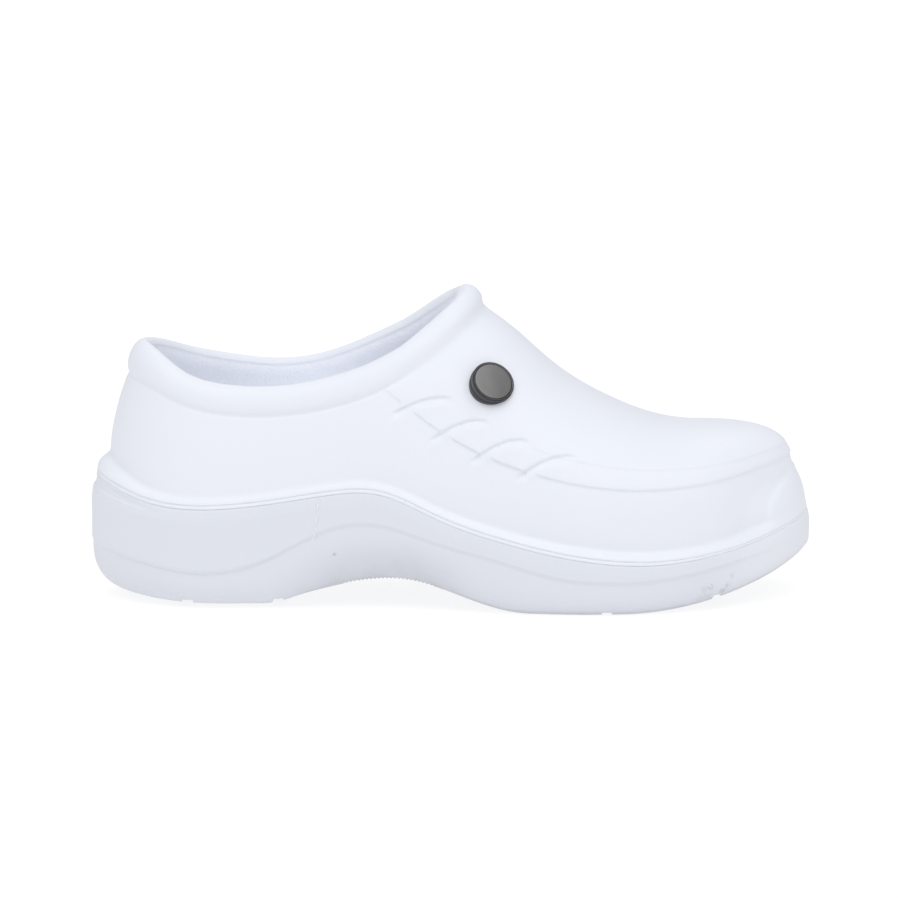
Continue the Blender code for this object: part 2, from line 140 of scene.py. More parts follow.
# Sole: shoulder, arch, toe spring, heel bevel and foot bed
SHOULDER_DROP = 4.0 * MM
HEEL_SHOULDER = 5.0 * MM
SHOULDER_POWER = 0.6
SHOULDER_LIP = 0.7
BAND_ROWS_POWER = 1.5
ARCH_RISE = 10.4 * MM
ARCH_STATION = 0.417
ARCH_REACH = 0.16
ARCH_FRONT = 0.19
ARCH_EASE = 2.5 * MM
TOE_SPRING = 17 * MM
SPRING_START = 0.74
HEEL_BEVEL = 4.0 * MM
BEVEL_END = 0.16
CUP_FLARE = 4.0 * MM
TOE_SWELL = 0.9 * MM
TOE_SWELL_STATION = 0.92
TOE_LIP = 0.9 * MM
HEEL_LIFT = 1.3 * MM
HEEL_LIFT_PART = (92 * MM, 67 * MM)
HEEL_LIFT_POWER = 4

# Tread channels across the sole, in millimetres, and the fine ribs across the arch
Channel = namedtuple("Channel", "station width depth")
CHANNELS = (
    Channel(0.132, 4.0, 1.8),
    Channel(0.258, 3.8, 1.8),
    Channel(0.714, 3.6, 1.3),
    Channel(0.868, 2.8, 1.8),
)
CHANNEL_WALL = 0.7 * MM
RIB_FIRST = 93 * MM
RIB_LAST = 129 * MM
RIB_PITCH = 1.5 * MM
RIB_FADE = 3.0 * MM

# Grime and painted shade along the sole's lower edge, painted shade under the arch, and painted light on
# its paler ends
# Grime and painted shade along the lower edge
LOW_EDGE = 10 * MM
LOW_LINE = 2.0 * MM
LOW_POWER = 5
# Painted shade under the arch: how high it reaches, how dark it is, and where along the shoe
ARCH_EDGE = 20 * MM
ARCH_SHADE = 0.7
ARCH_SHADE_PART = (146 * MM, 130 * MM)
# Painted light: the sole's toe and heel ends, lightened towards the flash colour
PAINTED_LIGHT_TOE = (0.84, 0.95)
PAINTED_LIGHT_HEEL = 0.09
PAINTED_LIGHT_HEEL_SHARE = 0.6

# Insole
INSOLE_THICK = 4.0 * MM
INSOLE_INSET = 1.0 * MM
INSOLE_EDGE = 1.2 * MM

# Round badge on the little-toe side of the instep: cap, lip with a fine groove, recess and disc
BADGE_STATION = 0.5529
BADGE_HEIGHT = 84.5 * MM
BADGE_SEAT = 0.9 * MM + SEAT_GAP
BADGE_LEAN = math.radians(11)
BADGE_TIP = math.radians(8)
BADGE_RADIUS = 8.6 * MM
BADGE_FOOT = 8.0 * MM
BADGE_STEP = 0.4 * MM
BADGE_STEP_PART = (0.45, 0.57)
BADGE_THICK = 2.4 * MM
BADGE_BEVEL = 0.6 * MM
LIP_INNER = BADGE_RADIUS - 1.15 * MM
LIP_SHOULDER = 0.3
LIP_EDGE = 0.25
LIP_EDGE_DROP = 0.4 * MM
LIP_GROOVE = 0.45 * MM
LIP_GROOVE_AT = 0.52
LIP_GROOVE_HALF = 0.1
# Painted highlight on the lip's inner edge, between two shares of the lip
LIP_PAINTED_HIGHLIGHT = (0.6, 0.8)
RECESS_FLOOR = BADGE_THICK - 1.0 * MM
FACE_RADIUS = LIP_INNER - SEAT_GAP
FACE_FLOOR = RECESS_FLOOR + SEAT_GAP
FACE_THICK = 0.9 * MM
FACE_ROUND = 0.35 * MM
FACE_DISH = 0.15 * MM
# Painted sheen across the badge: light at its heel end, dark at its toe end
BADGE_SHEEN_PART = (22 * MM, 8 * MM)

# Fineness of the skins, rounding of the line under the collar roll, and slack to the solids' boxes
UPPER_COLUMNS = 480
SOLE_COLUMNS = 1100
INSOLE_COLUMNS = 320
BADGE_COLUMNS = 128
CUT_WEIGHT = 2.0
FLASH_WEIGHT = 3.0
TABLE_TURNS = 1440
HALVINGS = 40
RELIEF_STEP = 0.05 * MM
RELIEF_PASSES = 2
GROOVE_ROWS = 1.2
GROOVE_PASSES = 1
THROAT_ROWS = 7
THROAT_PASSES = 24
THROAT_LEAD = 10 * MM
BOX_TOLERANCE = 5 * MM

# One row for each section of the shoe. Widths and heights are in millimetres.
#   station  share of the length from the heel
#   outer    half width of the seam, little-toe side, before the ends are rounded
#   inner    the same on the big-toe side
#   joint    height of the seam between sole and upper
#   ridge    height of the closed form over the centre line
#   full     power of the section's curve: 2 is an ellipse, less leans the wall in, more is boxier
#   ledge    width of the ledge round the upper's foot
#   belly    height of the widest line over the ledge
#   apron    height of the apron's edge
#   bulge    how far the sole's side stands out from the seam
#   wave     height of the crease along the sole's side
#   tuck     how far the sole's side draws in below the crease
#   bed      height of the foot bed
Section = namedtuple(
    "Section", "station outer inner joint ridge full ledge belly apron bulge wave tuck bed"
)
SECTIONS = (
    Section(0.00, 36.0, 36.0, 47.0, 111.0, 1.50, 5.1, 0.5, 140.0, 2.3, 22.4, 11.0, 30.0),
    Section(0.08, 37.0, 37.0, 39.7, 112.5, 1.55, 2.2, 0.5, 140.0, 1.9, 17.3, 11.0, 27.0),
    Section(0.16, 38.0, 38.0, 38.2, 116.0, 1.65, 1.3, 1.0, 130.0, 1.3, 14.6, 10.5, 25.0),
    Section(0.25, 38.5, 38.0, 40.5, 118.0, 1.75, 1.1, 2.0, 115.0, 1.0, 20.7, 11.0, 24.5),
    Section(0.33, 39.5, 37.0, 44.0, 119.0, 1.80, 1.1, 4.0, 99.0, 0.9, 31.7, 13.0, 24.0),
    Section(0.40, 41.5, 36.5, 44.4, 119.0, 1.78, 1.1, 6.0, 84.8, 0.8, 33.5, 17.0, 23.0),
    Section(0.48, 45.0, 38.5, 35.7, 116.0, 1.75, 1.1, 8.0, 69.0, 0.8, 27.2, 15.0, 21.0),
    Section(0.56, 49.0, 42.5, 28.4, 106.3, 1.85, 1.1, 10.0, 58.2, 0.8, 21.6, 10.0, 18.0),
    Section(0.64, 52.0, 47.0, 23.1, 87.5, 2.05, 1.1, 12.0, 51.4, 0.9, 15.6, 8.0, 15.5),
    Section(0.72, 53.0, 50.0, 19.8, 73.8, 2.25, 1.2, 12.0, 47.6, 1.0, 13.5, 7.5, 14.5),
    Section(0.80, 52.0, 51.0, 19.3, 65.5, 2.50, 1.4, 11.0, 46.9, 1.0, 14.4, 7.5, 15.0),
    Section(0.88, 50.0, 50.5, 22.2, 63.8, 2.80, 2.2, 8.0, 49.0, 1.0, 18.2, 8.0, 17.5),
    Section(0.95, 48.0, 50.0, 27.0, 64.2, 3.45, 4.5, 4.0, 52.4, 1.0, 22.3, 9.5, 21.5),
    Section(1.00, 47.0, 49.5, 32.2, 64.2, 3.60, 4.5, 2.0, 54.5, 1.0, 25.0, 11.0, 25.0),
)

# One row for each place along the collar, from the heel to past the throat, in millimetres
#   outer  height of the groove under the roll, little-toe side
#   inner  the same on the big-toe side
#   roll   half height of the roll's oval
Collar = namedtuple("Collar", "station outer inner roll")
COLLAR = (
    Collar(0.00, 86.0, 86.0, 7.8),
    Collar(0.05, 84.5, 84.5, 7.6),
    Collar(0.12, 77.0, 80.7, 6.4),
    Collar(0.18, 73.3, 77.6, 6.3),
    Collar(0.25, 72.7, 75.5, 6.2),
    Collar(0.33, 75.9, 78.2, 6.5),
    Collar(0.40, 82.3, 85.6, 7.0),
    Collar(0.47, 93.2, 95.3, 7.5),
    Collar(0.52, 103.6, 104.9, 6.6),
    Collar(0.551, 112.6, 112.6, 5.4),
    Collar(0.60, 137.0, 137.0, 5.4),
)

# One row for each hooked slash across the apron's edge, in millimetres
#   tail    place of its lower end along the shoe
#   foot    height of that end
#   length  how far it runs towards the toe
#   rise    how far it climbs to its crest
Hook = namedtuple("Hook", "tail foot length rise")
HOOKS = (
    Hook(111.4, 73.8, 25.2, 6.4),
    Hook(125.7, 64.5, 24.3, 7.7),
    Hook(140.8, 57.2, 24.0, 8.1),
    Hook(157.6, 51.4, 24.2, 8.0),
)
HOOK_CREST = 0.78
HOOK_DROOP = 0.17
HOOK_CROSSING = 0.16
HOOK_BROW = 0.9 * MM
HOOK_RAMP = 3.2 * MM
HOOK_LIP = 0.12
HOOK_ENDS = (0.13, 0.22)
HOOK_REST = 3.5 * MM
HOOK_REST_START = 0.5 * MM
HOOK_REST_BLEND = 2.5 * MM

# Band along the apron's edge, from the last hook to the toe
BAND_WIDTHS = (8.0 * MM, 3.5 * MM)
BAND_PART = (150 * MM, 180 * MM)
BAND_BLEND = 0.8 * MM
APRON_BLEND = 0.7 * MM
APRON_FADED = 7 * MM
APRON_PART = (105 * MM, 165 * MM)
APRON_HEEL_SHARE = 0.4

# Soft shelf on the heel of the sole, and the upright flash line on its little-toe side
SHELF_HEIGHT = 42.2 * MM
SHELF_FALL = 0.26
SHELF_BLEND = 0.7 * MM
SHELF_TOP = 2.0 * MM
SHELF_PART = (28 * MM, 8 * MM)
FLASH_TOP = 85.5 * MM
FLASH_TOP_HEIGHT = 43.4 * MM
FLASH_MIDDLE = 84.3 * MM
FLASH_NEAR = 3 * MM
FLASH_LEAN = 0.147
FLASH_LOW = 27 * MM
FLASH_FADE = 3 * MM
FLASH_HALF = 0.38 * MM
FLASH_WANDER = 0.25 * MM
FLASH_RAGGED = 0.3
FLASH_WAVES = (0.9 / MM, 1.7 / MM, 0.6 / MM)

# Crease along the sole's side, which is broader in front of the heel, and the round side under it
CREASE_FADE = (0.88, 0.97)
CREASE_AT_TOE = 0.04
CREASE_AT_HEEL = 0.5
CREASE_HEEL = 12 * MM
CREASE_TALL = (1.3 * MM, 2.1 * MM)
CREASE_BROAD_PART = (0.20, 0.36)
CREASE_DIP = 0.18 * MM
SIDE_ROUND = (0.8, 0.55)
SIDE_TOE_PART = (0.80, 0.95)

# Finishes: grain and tone of the foam, lining's speckles and painted light, sole's grime and scuffs with
# painted shade and light, insole, and badge with its painted sheen and highlight
GRAIN = 0.8 * MM
GRAIN_BUMP = 0.06
BUMP_DEPTH = 0.35 * MM
TONE_SHADE = 0.985
TONE_GLOSS = 0.08
SPECKLE = 0.9 * MM
SPECKLE_PART = (0.38, 0.64)
SPECKLE_SHADE = 0.975
SPECKLE_BUMP = 0.15
LINING_GLOSS = 0.25
# Share of painted light on the sole's ends, and of the flash line's paler crest, partly a stress mark and
# partly a painted highlight
PAINTED_LIGHT_MIX = 0.28
FLASH_MIX = 0.6
# Random strength of the grime and painted shade
GRIME_AND_SHADE_LEAST = 0.4
GRIME_AND_SHADE_SWING = 0.8
SCUFF_CORE = 0.4
SCUFF_GRAIN = 1.6 * MM
SCUFF_PART = (0.36, 0.58)
DIMPLE = 3.2 * MM
DIMPLE_PART = (0.15, 0.45)
DIMPLE_DEPTH = 0.3 * MM
DIMPLE_RANDOM = 0.25
INSOLE_SHADE = 0.97
INSOLE_ROUGHNESS = 0.7
INSOLE_GLOSS = 0.1
# Badge: share of its painted sheen, its gloss, and the grey and share of the painted highlight on the
# rim's edge
BADGE_SHEEN_SHARE = 0.75
BADGE_GLOSS = 0.15
PAINTED_HIGHLIGHT_GREY = (0.3, 0.3, 0.3)
PAINTED_HIGHLIGHT_MIX = 0.8

# Stage: the floor, where a lamp stands before it is turned, the camera, and the lamp in the shoe
FLOOR_HALF = 8.0
FLOOR_GREY = (0.25, 0.25, 0.25)
FLOOR_SHADE = 0.98
FLOOR_TONE = 0.5
FLOOR_ROUGHNESS = 0.8
FLOOR_GLOSS = 0.05
FLOOR_BUMP = 0.01 * MM
LAMP_START = Vector((0, -2, 0))
SENSOR_WIDTH = 36.0
INSIDE_LIGHT_PLACE = (84 * MM, -5 * MM, 56 * MM)
INSIDE_LIGHT_RADIUS = 15 * MM


class Curve:
    """A smooth curve through one column of a table, read by the place along the shoe."""

    def __init__(self, rows, column, scale=MM):
        self.at = np.array([row.station for row in rows])
        self.value = np.array([getattr(row, column) for row in rows]) * scale
        gap = np.diff(self.at)
        slope = np.diff(self.value) / gap
        count = len(self.at)
        system = np.eye(count)
        right = np.zeros(count)
        for i in range(1, count - 1):
            system[i, i - 1 : i + 2] = gap[i - 1], 2 * (gap[i - 1] + gap[i]), gap[i]
            right[i] = 6 * (slope[i] - slope[i - 1])
        self.bend = np.linalg.solve(system, right)

    def __call__(self, x):
        station = np.clip(np.asarray(x, float) / LENGTH, self.at[0], self.at[-1])
        i = np.clip(np.searchsorted(self.at, station, side="right") - 1, 0, len(self.at) - 2)
        gap = self.at[i + 1] - self.at[i]
        a = (self.at[i + 1] - station) / gap
        b = 1 - a
        curved = ((a**3 - a) * self.bend[i] + (b**3 - b) * self.bend[i + 1]) * gap**2 / 6
        return a * self.value[i] + b * self.value[i + 1] + curved


outer_width = Curve(SECTIONS, "outer")
inner_width = Curve(SECTIONS, "inner")
joint_height = Curve(SECTIONS, "joint")
ridge_height = Curve(SECTIONS, "ridge")
fullness = Curve(SECTIONS, "full", 1)
ledge_width = Curve(SECTIONS, "ledge")
belly_height = Curve(SECTIONS, "belly")
apron_height = Curve(SECTIONS, "apron")
side_bulge = Curve(SECTIONS, "bulge")
wave_height = Curve(SECTIONS, "wave")
tuck_depth = Curve(SECTIONS, "tuck")
bed_height = Curve(SECTIONS, "bed")
outer_groove = Curve(COLLAR, "outer")
inner_groove = Curve(COLLAR, "inner")
roll_half_height = Curve(COLLAR, "roll")


def part(value, bounds):
    """Share of the way from the first bound to the second, from 0 to 1."""
    return np.clip((value - bounds[0]) / (bounds[1] - bounds[0]), 0, 1)


def eased(share):
    """0 to 1 with a soft start and end."""
    share = np.clip(share, 0, 1)
    return share * share * (3 - 2 * share)


def soft_step(value, width):
    """0 to 1 across a soft step of some width, half way up where the value is 0."""
    return eased(value / width + 0.5)


def mixed(first, second, share):
    """From the first (0) to the second (1), for numbers or for rows of points."""
    if np.ndim(second) > np.ndim(share):
        share = np.asarray(share)[..., None]
    return first + (second - first) * share


def rounded(share):
    """0 to 1 along a quarter of a circle, steep at the start."""
    return np.sqrt(1 - (1 - np.clip(share, 0, 1)) ** 2)


def rounded_edge(share, thick, radius):
    """How far in and how high an upright edge with a rounded top runs."""
    angle = np.clip(share * 2 - 1, 0, 1) * math.pi / 2
    rise = (thick - radius) * np.clip(share * 2, 0, 1) + radius * np.sin(angle)
    return radius * (1 - np.cos(angle)), rise


def unit(vectors):
    return vectors / np.linalg.norm(vectors, axis=-1, keepdims=True)


def last_inside(count, end, test):
    """Largest value from 0 to the end at which a test holds, for each of some rows, by halving."""
    near = np.zeros(count)
    far = np.full(count, end)
    for _ in range(HALVINGS):
        middle = (near + far) / 2
        inside = test(middle)
        near = np.where(inside, middle, near)
        far = np.where(inside, far, middle)
    return near


def centre_line(x):
    """Sideways place of the shoe's middle, which swings at the toe."""
    return TOE_SWING * part(x / LENGTH, (SWING_START, 1)) ** 2


def on_centre_line(x):
    return np.stack([x, centre_line(x)], axis=-1)


def half_width(x, side):
    """Half width of the seam at x, on the little-toe side (-1) or the big-toe side (1)."""
    width = np.where(side < 0, outer_width(x), inner_width(x))
    heel = part(x, (HEEL_ROUND_LENGTH, 0))
    toe = part(x, (LENGTH - TOE_ROUND_LENGTH, LENGTH))
    return width * np.sqrt((1 - heel**HEEL_ROUND_POWER) * (1 - toe**TOE_ROUND_POWER))


def edge(turn):
    """Plan point of the seam: turn 0 is the heel and pi the toe, by way of the little-toe side."""
    x = LENGTH / 2 * (1 - np.cos(turn))
    side = np.where(np.sin(turn) >= 0, -1.0, 1.0)
    return np.stack([x, centre_line(x) + side * half_width(x, side)], axis=-1)


def edge_outward(turn):
    """Unit plan direction square to the seam, pointing out."""
    small = 1e-4
    along = edge(turn + small) - edge(turn - small)
    return unit(np.stack([along[..., 1], -along[..., 0]], axis=-1))


def shoe_middle():
    """Middle of the shoe's box in plan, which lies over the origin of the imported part."""
    turns = np.linspace(0, 2 * math.pi, TABLE_TURNS + 1)
    rim = edge(turns)
    outline = rim + edge_outward(turns) * side_bulge(rim[:, 0])[:, None]
    return np.append((outline.min(axis=0) + outline.max(axis=0)) / 2, 0.0)


def even_weight(plan):
    return np.ones(len(plan))


def spaced_turns(share, weight):
    """Turns at even steps along the seam, closer together where the weight is larger.

    They mirror those of the little-toe side, so that both sides meet on the centre line.
    """
    turns = np.linspace(0, math.pi, 4 * TABLE_TURNS + 1)
    rim = edge(turns)
    length = np.linalg.norm(np.diff(rim, axis=0), axis=-1) * weight((rim[1:] + rim[:-1]) / 2)
    run = np.append(0, np.cumsum(length))
    half = np.interp(2 * np.minimum(share, 1 - share) * run[-1], run, turns)
    return np.where(share <= 0.5, half, 2 * math.pi - half)


def reach_to_edge(start, direction):
    """Distance in plan from points inside the seam, along a direction, to the seam."""

    def inside(distance):
        x, y = (start + direction * distance[:, None]).T
        sideways = y - centre_line(x)
        kept = np.clip(x, 0, LENGTH)
        return (kept == x) & (np.abs(sideways) < half_width(kept, np.sign(sideways)))

    return last_inside(len(start), LENGTH, inside)


def heel_share(x):
    """1 at the back of the heel, falling off along the shoe."""
    return np.exp(-x / HEEL_LIP_REACH)


def toe_share(x):
    """1 at the tip of the toe, and 0 behind its rounding."""
    return eased(part(x / LENGTH, (TOE_SWELL_STATION, 1)))


def toe_lip(x):
    """How far the joint stands out under the toe bumper."""
    return TOE_LIP * toe_share(x)


def throat_share(x):
    """1 at the front of the collar's opening, and 0 along its sides."""
    return eased(part(x / LENGTH, THROAT_PART))


def ledge_rise(x):
    return LEDGE_RISE + HEEL_LIP * heel_share(x)


def closed_form(plan):
    """Points of the upper's closed outer form, for plan points from the centre line to the seam.

    Each section climbs from the ledge's root to its widest line, then over to the ridge.
    """
    spine = on_centre_line(np.clip(plan[:, 0], *SPINE))
    away = plan - spine
    distance = np.linalg.norm(away, axis=-1)
    middle = distance < 1e-9
    direction = np.where(middle[:, None], (0.0, -1.0), away / np.where(middle, 1, distance)[:, None])
    reach = reach_to_edge(spine, direction)
    share = np.clip(distance / reach, 0, 1)
    edge_x = spine[:, 0] + direction[:, 0] * reach

    width = reach - ledge_width(edge_x)
    root = joint_height(edge_x) + ledge_rise(edge_x)
    widest = root + belly_height(edge_x)
    ridge = ridge_height(spine[:, 0])
    full = fullness(edge_x)
    climb = part(share, (1 - BELLY_SHARE, 0)) * math.pi / 2
    drop = part(share, (1 - BELLY_SHARE, 1)) * (widest - root)
    out = width * np.cos(climb) ** (2 / np.maximum(full, 2)) * np.sqrt(1 - (drop / BELLY_DEPTH) ** 2)
    height = widest - drop + (ridge - widest) * np.sin(climb) ** (2 / full)
    return np.column_stack([spine + direction * out[:, None], height])


def groove_at(points):
    """Height of the groove under the collar roll, on each point's own side of the shoe."""
    x = points[:, 0]
    return np.where(points[:, 1] < centre_line(x), outer_groove(x), inner_groove(x))


def on_column(turn, share):
    """Points of the closed form on the columns' lines, which fan out in plan to the seam."""
    ends = edge(turn)
    starts = on_centre_line(np.clip(ends[:, 0], *FAN))
    return closed_form(mixed(starts, ends, share))


def column_normal(turn, share):
    """Outward unit normals of the closed form."""
    small = 1e-3
    around = on_column(turn + small, share) - on_column(turn - small, share)
    climb = on_column(turn, share - small) - on_column(turn, np.minimum(share + small, 1))
    return unit(np.cross(around, climb))


def groove_shares():
    """How far out along each column's line the closed form comes down to the collar's groove."""
    turns = np.linspace(0, 2 * math.pi, TABLE_TURNS + 1)

    def above(share):
        points = on_column(turns, share)
        return points[:, 2] > groove_at(points)

    return turns, last_inside(len(turns), 1.0, above)


GROOVE_TURNS, GROOVE_SHARES = groove_shares()


def hook_cut(points, depth):
    """Depth of the hooked slashes: a steep brow over each line and a soft ramp below it."""
    x, z = points[:, 0] / MM, points[:, 2] / MM
    cut = np.zeros(len(points))
    for hook in HOOKS:
        along = (x - hook.tail) / hook.length
        climb = np.sin(part(along, (0, HOOK_CREST)) * math.pi / 2)
        droop = HOOK_DROOP * part(along, (HOOK_CREST, 1)) ** 2
        below = (hook.foot + hook.rise * (climb - droop) - z) * MM
        brow = eased(1 + below / HOOK_BROW)
        ramp = 1 - (1 + HOOK_LIP) * eased(below / HOOK_RAMP) + HOOK_LIP * eased(below / HOOK_RAMP - 1)
        ends = eased(along / HOOK_ENDS[0]) * eased((1 - along) / HOOK_ENDS[1])
        cut += depth * ends * np.where(below > 0, ramp, brow)
    return cut


def apron_rest(x):
    """1 along the apron's edge, and 0 on the short stretch past each hook where it fades out."""
    kept = np.ones(len(x))
    for hook in HOOKS:
        past = x - (hook.tail + hook.length * HOOK_CROSSING) * MM
        kept -= eased(past / HOOK_REST_START) * eased(1 + (HOOK_REST - past) / HOOK_REST_BLEND)
    return np.clip(kept, 0, 1)


def upper_relief(points, sizes):
    """How far apron, band, hooks and toe bumper stand out from the plain form."""
    x, z = points[:, 0], points[:, 2]
    over = z - apron_height(x)
    band = mixed(*BAND_WIDTHS, (x - BAND_PART[1]) / (LENGTH - BAND_PART[1]))
    band_step = sizes.band_step * eased(part(x, BAND_PART))
    rise = mixed(soft_step(over, APRON_FADED), soft_step(over, APRON_BLEND), apron_rest(x))
    grown = mixed(APRON_HEEL_SHARE, 1, eased(part(x, APRON_PART)))
    apron = (sizes.apron_step * grown - band_step) * rise
    apron += band_step * soft_step(over - band, BAND_BLEND)

    climb = part(z, BUMPER_HEIGHTS)
    past = x - mixed(*BUMPER_STATIONS, climb**BUMPER_LEAN) * LENGTH
    swell = mixed(*BUMPER_STEPS, climb**2) - BUMPER_EDGE_STEP
    bumper = BUMPER_EDGE_STEP * eased(past / BUMPER_EDGE + BUMPER_EDGE_AHEAD)
    bumper += swell * eased((past + BUMPER_LEAD) / BUMPER_SWELL)
    bumper *= soft_step(BUMPER_TOP - z, BUMPER_BLEND)
    return apron + bumper - hook_cut(points, sizes.hook_depth)


def roll_degrees(share):
    return mixed(*ROLL_DEGREES, share)


class Upper:
    """Stretches of the upper's skin, each by a turn round the shoe and a share of the stretch."""

    def __init__(self, sizes):
        self.sizes = sizes

    def plain(self, turn, share):
        """Plain form of the outer wall, from the ledge's root (0) to the collar's groove (1)."""
        line = mixed(1, np.interp(turn, GROOVE_TURNS, GROOVE_SHARES), share)
        return on_column(turn, line), column_normal(turn, line)

    def outer(self, turn, share):
        points, normal = self.plain(turn, share)
        return points + normal * upper_relief(points, self.sizes)[:, None]

    def foot(self, turn, share):
        """Flash bead on the rim, a fine groove over it, and a lip that rolls over to the wall's root."""
        rim = edge(turn)
        x = rim[:, 0]
        root = self.outer(turn, np.zeros(len(turn)))[:, :2]
        lap = mixed(BEAD_LAP, math.pi, part(share, (0, BEAD_END)))
        dip = part(share, (BEAD_END, GROOVE_END))
        climb = part(share, (GROOVE_END, 1))
        size = 1 - TOE_BEAD * eased(part(x / LENGTH, TOE_BEAD_PART))
        first = math.cos(BEAD_LAP)
        rise = BEAD_TALL * (first - np.cos(lap)) / (first + 1) + GROOVE_TALL * dip
        rise = rise * size + (ledge_rise(x) - (BEAD_TALL + GROOVE_TALL) * size) * climb
        peak = mixed(*LIP_PEAKS, heel_share(x))
        rolled = np.where(climb < peak, climb**2 / peak, 1 - (1 - climb) ** 2 / (1 - peak))
        push = self.sizes.bead_out * np.sin(lap) - self.sizes.bead_groove * size * np.sin(dip * math.pi)
        push = push + toe_lip(x) * (1 - rolled)
        plan = mixed(rim, root, rolled) + edge_outward(turn) * push[:, None]
        return np.column_stack([plan, joint_height(x) + rise])

    def roll(self, turn, share):
        """Collar roll, over the top from the outer groove to the flat lining inside."""
        ones = np.ones(len(turn))
        groove, normal = self.plain(turn, ones)
        climb = unit(groove - self.plain(turn, ones - ROLL_CLIMB_STEP)[0])
        throat = throat_share(groove[:, 0])
        up = unit(mixed(climb, np.array([[0.0, 0.0, 1.0]]), mixed(*ROLL_UPRIGHT, throat)))
        out = unit(normal - up * np.sum(normal * up, axis=-1, keepdims=True))
        tall = up * roll_half_height(groove[:, 0])[:, None]
        degrees = roll_degrees(share)
        angle = np.radians(degrees)
        step = LINING_STEP * eased(part(degrees, LINING_DEGREES))
        sideways = (ROLL_OUT + THROAT_THICK * throat) * np.cos(np.minimum(angle, math.pi)) + step
        middle = groove + tall * ROLL_RISE - out * ROLL_INSET
        return middle + out * sideways[:, None] + tall * np.sin(angle)[:, None]

    def inner(self, turn, share):
        """Inner wall, from the collar's groove down to the ledge's root."""
        points, normal = self.plain(turn, 1 - share)
        inset = WALL + LINING_PAD * (1 - eased(share / LINING_PAD_END))
        inset += (FOOT_THICK - ledge_width(points[:, 0])) * share**2
        return points - normal * inset[:, None]

    def root_line(self, turn):
        """Plan points of the inner wall's lower end."""
        return self.inner(turn, np.ones(len(turn)))[:, :2]

    def seat(self, turn, share):
        """Underside of the wall, from the inner wall out to the rim."""
        rim = self.foot(turn, np.zeros(len(turn)))
        return np.column_stack([mixed(self.root_line(turn), rim[:, :2], share), rim[:, 2]])


def ground_height(x):
    """Height of the sole's underside: flat under heel and ball, with an arch and a toe spring."""
    station = x / LENGTH
    arch = ARCH_RISE * (1 - ((station - ARCH_STATION) / ARCH_REACH) ** 2)
    mix = np.clip(0.5 + 0.5 * arch / ARCH_EASE, 0, 1)
    arch = arch * mix + ARCH_EASE * mix * (1 - mix)
    front = part(station, (ARCH_STATION, ARCH_STATION + ARCH_FRONT))
    arch = np.where(front > 0, ARCH_RISE * np.cos(front * math.pi / 2) ** 2, arch)
    spring = part(station, (SPRING_START, 1))
    bevel = part(station, (BEVEL_END, 0))
    return arch + TOE_SPRING * spring**2 + HEEL_BEVEL * bevel**2


def crease_tall(x):
    """Height of the soft step at the crease."""
    return mixed(*CREASE_TALL, eased(part(x / LENGTH, CREASE_BROAD_PART)))


def heel_lift(x):
    """How far the worn outer edge of the heel lies off the floor."""
    return HEEL_LIFT * eased(part(x, HEEL_LIFT_PART))


def spine_of(turn):
    return on_centre_line(np.clip(edge(turn)[:, 0], *SPINE))


